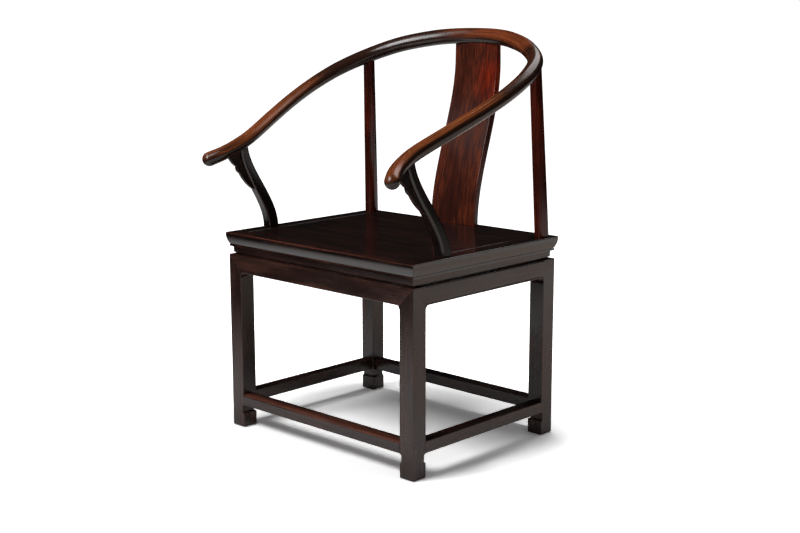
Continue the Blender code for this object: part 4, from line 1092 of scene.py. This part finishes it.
def worn_rail(point, normal, spot):
    """Wear on the upper side of the rail, where hands and backs rub it."""
    for (start, low), (end, high) in zip(RAIL_WEAR_SHARES, RAIL_WEAR_SHARES[1:]):
        if spot[0] < end:
            break
    shown = mix(low, high, smooth_step((spot[0] - start) / (end - start)))
    near_grip = min(spot[0], 2 - spot[0])
    crest = smooth_step((near_grip - RAIL_LEAN_START_SHARE) / RAIL_LEAN_RUN_SHARE)
    lean = math.radians(mix(RAIL_WEAR_LEAN_ARM, RAIL_WEAR_LEAN_CREST, crest))
    across, upward = rail_axes(spot[0])[1:]
    facing = normal.dot(upward) * math.cos(lean) - normal.dot(across) * math.sin(lean)
    edge = math.cos(math.radians(RAIL_WEAR_REACH))
    full = math.cos(math.radians(RAIL_WEAR_FULL))
    return smooth_step((facing - edge) / (full - edge)) * shown


def worn_splat(point, normal, spot):
    """Redder wood on the right of the splat towards its top, and wear with a painted highlight along its
    edges.
    """
    share = (point.z - SEAT_HEIGHT) / (CREST_HEIGHT - SEAT_HEIGHT)
    side = smooth_step(SPLAT_RED_MIDDLE + point.x / SPLAT_TOP_WIDTH)
    rise = smooth_step((share - SPLAT_RED_START_SHARE) / SPLAT_RED_RUN_SHARE)
    top = smooth_step((share - SPLAT_RED_TOP_START_SHARE) / SPLAT_RED_TOP_RUN_SHARE)
    return side * rise * mix(SPLAT_RED, SPLAT_RED_TOP, top) + arris_wear_and_highlight(point, normal, spot)


def no_wear(point, normal, spot):
    """A face that nothing rubs."""
    return 0.0


def mark_surface(item, grain, wear, offset):
    """Writes the grain's coordinates and the wear, with the painted highlight along rounded edges, to
    each point of a piece's mesh.
    """
    mesh = item.data
    needs_spot = grain is grain_of_rail
    grains = []
    wears = []
    for vert, normal in zip(mesh.vertices, mesh.vertex_normals):
        spot = rail_spot(vert.co) if needs_spot else None
        run, across, deep = grain(vert.co, spot)
        grains += [run + offset, across + offset, deep]
        wears.append(wear(vert.co, normal.vector, spot))
    mesh.attributes.new("grain", "FLOAT_VECTOR", "POINT").data.foreach_set("vector", grains)
    # The wear also holds the painted highlight along rounded edges
    mesh.attributes.new("wear", "FLOAT", "POINT").data.foreach_set("value", wears)


# Woods

def add_node(tree, kind, **values):
    """A node with some of its inputs set by name."""
    node = tree.nodes.new(kind)
    for name, value in values.items():
        node.inputs[name.replace("_", " ")].default_value = value
    return node


def vector_maths(tree, operation, vector, other, output="Vector"):
    """A vector put together with a fixed one."""
    node = tree.nodes.new("ShaderNodeVectorMath")
    node.operation = operation
    node.inputs[1].default_value = other
    tree.links.new(vector, node.inputs[0])
    return node.outputs[output]


def noise(tree, vector, along, across, detail, rough):
    """Noise in grain coordinates, finer across the grain than along it."""
    stretched = vector_maths(tree, "MULTIPLY", vector, (along, across, across))
    node = add_node(tree, "ShaderNodeTexNoise", Scale=1.0, Detail=detail, Roughness=rough)
    tree.links.new(stretched, node.inputs["Vector"])
    return node.outputs["Fac"]


def ramp(tree, value, low, high, to_low=0.0, to_high=1.0):
    """A value mapped smoothly from one range to another."""
    node = tree.nodes.new("ShaderNodeMapRange")
    node.interpolation_type = "SMOOTHSTEP"
    for name, number in (
        ("From Min", low), ("From Max", high), ("To Min", to_low), ("To Max", to_high),
    ):
        node.inputs[name].default_value = number
    tree.links.new(value, node.inputs["Value"])
    return node.outputs["Result"]


def maths(tree, operation, first, second):
    """Two values put together."""
    node = tree.nodes.new("ShaderNodeMath")
    node.operation = operation
    for socket, value in zip(node.inputs, (first, second)):
        if isinstance(value, float):
            socket.default_value = value
        else:
            tree.links.new(value, socket)
    return node.outputs[0]


def weighted(tree, values, shares):
    """The sum of two values, each times its share."""
    parts = [maths(tree, "MULTIPLY", value, share) for value, share in zip(values, shares)]
    return maths(tree, "ADD", *parts)


def blend(tree, share, first, second):
    """One colour laid over another."""
    node = tree.nodes.new("ShaderNodeMix")
    node.data_type = "RGBA"
    tree.links.new(share, node.inputs["Factor"])
    for socket, colour in zip((node.inputs[6], node.inputs[7]), (first, second)):
        if isinstance(colour, tuple):
            socket.default_value = (*colour, 1.0)
        else:
            tree.links.new(colour, socket)
    return node.outputs[2]


def wood(name, lacquer, glow, worn, glow_share, roughness, shine, run, own_grain=True):
    """Polished wood: streaks of a warmer wood through dark lacquer, and worn places, which along rounded
    edges are partly a painted highlight.
    """
    material = bpy.data.materials.new(name)
    material.use_nodes = True
    tree = material.node_tree
    shader = tree.nodes["Principled BSDF"]
    if own_grain:
        source = tree.nodes.new("ShaderNodeAttribute")
        source.attribute_name = "grain"
        vector = source.outputs["Vector"]
    else:
        source = tree.nodes.new("ShaderNodeTexCoord")
        vector = source.outputs["Object"]
    streaks = noise(tree, vector, run, *STREAK_NOISE)
    fibres = noise(tree, vector, *FIBRE_NOISE)
    patches = noise(tree, vector, *PATCH_NOISE)
    mottle = noise(tree, vector, *MOTTLE_NOISE)
    fine = maths(tree, "MULTIPLY", ramp(tree, streaks, *STREAK_RANGE), ramp(tree, patches, *PATCH_RANGE))
    share = maths(tree, "MULTIPLY", fine, glow_share * 2)
    colour = blend(tree, share, lacquer, glow)
    # Wear from the mesh, with the painted highlight along rounded edges in it
    wear = tree.nodes.new("ShaderNodeAttribute")
    wear.attribute_name = "wear"
    soft = wear.outputs["Fac"]
    for rough_edge in (mottle, streaks):
        soft = maths(tree, "ADD", soft, maths(tree, "MULTIPLY", rough_edge, WEAR_RAGGEDNESS))
    bare = ramp(tree, soft, *BARE_RANGE)
    shaded = tuple(part * WORN_SHADE for part in worn)
    lines = weighted(tree, (streaks, fibres), LINE_SHARES)
    bare_wood = blend(tree, ramp(tree, lines, *LINE_RANGE), shaded, worn)
    colour = blend(tree, bare, colour, bare_wood)
    dark = tuple(part * DARK_FIBRE_SHADE for part in lacquer)
    colour = blend(tree, ramp(tree, fibres, *FIBRE_RANGE, 0.0, DARK_FIBRE_SHARE), colour, dark)
    tree.links.new(colour, shader.inputs["Base Color"])
    low, high = roughness * SHEEN_LOW_SHARE, roughness * SHEEN_HIGH_SHARE
    sheen = ramp(tree, patches, *PATCH_RANGE, low, high)
    sheen = maths(tree, "ADD", sheen, maths(tree, "MULTIPLY", bare, WORN_DULLNESS))
    tree.links.new(sheen, shader.inputs["Roughness"])
    shader.inputs["Specular IOR Level"].default_value = shine
    relief = weighted(tree, (streaks, fibres), RELIEF_SHARES)
    bump = add_node(tree, "ShaderNodeBump", Strength=RELIEF_STRENGTH, Distance=RELIEF_DEPTH)
    tree.links.new(relief, bump.inputs["Height"])
    tree.links.new(bump.outputs["Normal"], shader.inputs["Normal"])
    return material


# The whole chair

def make_pieces():
    """Every shown piece by the node that it stands for."""
    made = {}

    def keep(node, item):
        item.name = node + "_wood"
        made[node] = item
        return item

    def keep_sides(node, item):
        keep(node + "_right", item)
        keep(node + "_left", mirrored(item, node + "_left_wood", MIRROR_X))

    def keep_ring(node, bar, *sizes):
        front = keep(node + "_front", bar(node + "_front_wood", HALF_WIDTH, front_place(), *sizes))
        right = keep(node + "_right", bar(node + "_right_wood", HALF_DEPTH, right_place(), *sizes))
        keep(node + "_back", mirrored(front, node + "_back_wood", MIRROR_Y))
        keep(node + "_left", mirrored(right, node + "_left_wood", MIRROR_X))

    keep_ring("seat_rail", mitred_bar, frame_outline(), FRAME_CORNER)
    keep_ring("waist", mitred_bar, waist_outline())
    keep_ring("apron", apron_bar)
    keep_ring("stretcher", stretcher, STRETCHER_ARRIS)
    bpy.data.objects.remove(made["stretcher_front"], do_unlink=True)
    worn_stretcher = stretcher("stretcher_front_wood", HALF_WIDTH, front_place(), STRETCHER_WEAR)
    keep("stretcher_front", worn_stretcher)
    keep("seat_board_front", board("seat_board_front_wood", -1))
    keep("seat_board_back", board("seat_board_back_wood", 1))
    leg = make_leg()
    keep_sides("leg_front", leg)
    keep_sides("leg_back", mirrored(leg, "leg_back_right_wood", MIRROR_Y))
    past = (SCARF_LENGTH / 2 + OVERRUN) / RAIL_HALF_LENGTH
    arm = rail_tube("rail_arm_right_wood", 0, SCARF_SHARE + past)
    cut(arm, scarf_waste("arm_waste", 1))
    start = SCARF_SHARE - past
    crest = rail_tube("rail_crest_wood", start, 2 - start)
    crest_waste = scarf_waste("crest_waste", -1)
    cut(crest, crest_waste, mirrored(crest_waste, "crest_waste_left", MIRROR_X))
    keep_sides("rail_arm", arm)
    keep("rail_crest", crest)
    keep_sides("arm_post", make_arm_post())
    keep_sides("back_post", make_back_post())
    keep_sides("arm_bracket", make_bracket())
    keep("splat", make_splat())
    return made


# Grain and wear of each piece; the wear along rounded edges is partly a painted highlight
GRAIN_AND_WEAR = (
    ("seat_rail_front", grain_along_x, worn_seat_edge),
    ("seat_rail_back", grain_along_x, worn_seat_edge),
    ("seat_rail", grain_along_y, worn_seat_edge),
    ("seat_board", grain_along_x, no_wear),
    ("waist_front", grain_along_x, no_wear),
    ("waist_back", grain_along_x, no_wear),
    ("waist", grain_along_y, no_wear),
    ("apron_front", grain_along_x, arris_wear_and_highlight),
    ("apron_back", grain_along_x, arris_wear_and_highlight),
    ("apron", grain_along_y, arris_wear_and_highlight),
    ("stretcher_front", grain_along_x, worn_front_stretcher),
    ("stretcher_back", grain_along_x, arris_wear_and_highlight),
    ("stretcher", grain_along_y, arris_wear_and_highlight),
    ("leg", grain_upright, arris_wear_and_highlight),
    ("rail", grain_of_rail, worn_rail),
    ("arm_post", grain_of_arm_post, arris_wear_and_highlight),
    ("back_post", grain_upright, no_wear),
    ("arm_bracket", grain_upright, arris_wear_and_highlight),
    ("splat", grain_of_splat, worn_splat),
)


def dress_chair():
    """Puts the pieces in place of their nodes, with their woods."""
    slots = {part["node"]: part["material_slot"] for part in frame["record"]["subparts"]}
    woods = {look[0]: wood(*look) for look in WOODS}
    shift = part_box("seat_rail_front")[0].y + HALF_DEPTH
    move = Matrix.Translation((0, shift, 0))
    for number, (node, item) in enumerate(sorted(make_pieces().items())):
        for prefix, grain, wear in GRAIN_AND_WEAR:
            if node.startswith(prefix):
                break
        mark_surface(item, grain, wear, GRAIN_OFFSET * number)
        item.data.transform(move)
        shade(item)
        item.data.materials.clear()
        look = OWN_LOOKS.get(node.rsplit("_", 1)[0], slots[node])
        item.data.materials.append(woods[look])
        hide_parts(node)
        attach(item, "root")
    hidden_wood = wood(*HIDDEN_WOOD, own_grain=False)
    for node, item in frame["nodes"].items():
        if not item.hide_render:
            for holder in item.material_slots:
                holder.material = hidden_wood


# Floor, surroundings, lamps and camera

def make_floor():
    """Pale floor that keeps the chair's shadow and runs out to plain white."""
    bm = bmesh.new()
    corners = ((-1, -1), (1, -1), (1, 1), (-1, 1))
    bm.faces.new([bm.verts.new((x * FLOOR_REACH, y * FLOOR_REACH, 0)) for x, y in corners])
    floor = object_from_bmesh("floor", bm)
    material = bpy.data.materials.new("pale_floor")
    material.use_nodes = True
    tree = material.node_tree
    shader = tree.nodes["Principled BSDF"]
    shader.inputs["Roughness"].default_value = FLOOR_ROUGHNESS
    shader.inputs["Specular IOR Level"].default_value = 0.0
    shader.inputs["Emission Color"].default_value = (1, 1, 1, 1)
    place = tree.nodes.new("ShaderNodeTexCoord").outputs["Object"]
    path = tree.nodes.new("ShaderNodeLightPath")
    in_camera = path.outputs["Is Camera Ray"]
    in_gloss = path.outputs["Is Glossy Ray"]
    scaled = vector_maths(tree, "DIVIDE", place, (HALF_WIDTH, HALF_DEPTH, 1))
    reach = vector_maths(tree, "LENGTH", scaled, (0, 0, 0), "Value")
    glow = ramp(tree, reach, FLOOR_GLOW_START, FLOOR_GLOW_END, FLOOR_GLOW_NEAR, 1.0)
    glow = maths(tree, "MULTIPLY", glow, in_camera)
    far = ramp(tree, reach, POOL_GLOW_START, POOL_GLOW_END, 0.0, POOL_GLOW)
    glow = maths(tree, "ADD", glow, maths(tree, "MULTIPLY", far, in_gloss))
    tree.links.new(glow, shader.inputs["Emission Strength"])
    from_middle = vector_maths(tree, "DISTANCE", place, POOL_MIDDLE, "Value")
    outside = ramp(tree, from_middle, POOL_EDGE_START, POOL_EDGE_END)
    # Painted warm reflection: in gloss alone the floor turns warmer towards the back right
    back_right = vector_maths(tree, "DOT_PRODUCT", place, (1, 1, 0), "Value")
    warm = maths(tree, "MULTIPLY", ramp(tree, back_right, POOL_WARM_START, POOL_WARM_END), in_gloss)
    tree.links.new(blend(tree, warm, FLOOR_COLOUR, POOL_WARM), shader.inputs["Base Color"])
    extra = tree.nodes.new("ShaderNodeBsdfDiffuse")
    gain = maths(tree, "MULTIPLY", in_camera, FLOOR_GAIN)
    tree.links.new(gain, extra.inputs["Color"])
    seen = tree.nodes.new("ShaderNodeAddShader")
    tree.links.new(shader.outputs[0], seen.inputs[0])
    tree.links.new(extra.outputs[0], seen.inputs[1])
    gloom = add_node(tree, "ShaderNodeEmission", Strength=STUDIO_GLOOM)
    choice = tree.nodes.new("ShaderNodeMixShader")
    tree.links.new(maths(tree, "MULTIPLY", outside, in_gloss), choice.inputs[0])
    tree.links.new(seen.outputs[0], choice.inputs[1])
    tree.links.new(gloom.outputs[0], choice.inputs[2])
    tree.links.new(choice.outputs[0], tree.nodes["Material Output"].inputs["Surface"])
    floor.data.materials.append(material)


def make_surroundings():
    """White background for the camera, a dark studio above the horizon in gloss, and soft fill."""
    world = bpy.data.worlds.new("studio")
    bpy.context.scene.world = world
    world.use_nodes = True
    tree = world.node_tree
    shader = tree.nodes["Background"]
    path = tree.nodes.new("ShaderNodeLightPath")
    gloss = maths(tree, "MULTIPLY", path.outputs["Is Glossy Ray"], STUDIO_GLOOM)
    seen = maths(tree, "MAXIMUM", path.outputs["Is Camera Ray"], path.outputs["Is Transmission Ray"])
    lit = maths(tree, "MAXIMUM", path.outputs["Is Glossy Ray"], seen)
    fill = maths(tree, "MULTIPLY", maths(tree, "SUBTRACT", 1.0, lit), FILL_STRENGTH)
    total = maths(tree, "ADD", maths(tree, "ADD", gloss, seen), fill)
    shader.inputs["Color"].default_value = (1, 1, 1, 1)
    tree.links.new(total, shader.inputs["Strength"])


def make_lamps():
    """Soft boxes round the chair."""
    for name, azimuth, elevation, distance, width, height, power, dull, gloss in LAMPS:
        light = bpy.data.lights.new(name, "AREA")
        light.shape = "RECTANGLE"
        light.size = width
        light.size_y = height
        light.energy = power
        lamp = add_object(name, light)
        away = direction(azimuth, elevation)
        lamp.location = Vector(LAMP_AIM) + away * distance
        lamp.rotation_euler = away.to_track_quat("Z", "Y").to_euler()
        lamp.visible_diffuse = dull
        lamp.visible_glossy = gloss


def make_camera():
    """The photograph's camera."""
    camera = bpy.data.cameras.new("camera")
    camera.sensor_width = SENSOR_WIDTH
    camera.lens = CAMERA_FOCAL_PIXELS * SENSOR_WIDTH / IMAGE_WIDTH
    holder = add_object("camera", camera)
    back = direction(CAMERA_AZIMUTH, CAMERA_ELEVATION)
    side = UP.cross(back).normalized()
    roll = Matrix.Rotation(math.radians(CAMERA_ROLL), 3, back)
    side = roll @ side
    place = Matrix((side, back.cross(side), back)).transposed().to_4x4()
    place.translation = Vector(CAMERA_TARGET) + back * CAMERA_DISTANCE
    holder.matrix_world = place
    bpy.context.scene.camera = holder


for leftover in list(bpy.data.objects):
    bpy.data.objects.remove(leftover, do_unlink=True)
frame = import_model()
make_camera()
dress_chair()
make_floor()
make_surroundings()
make_lamps()
bpy.context.scene.view_settings.view_transform = "Standard"
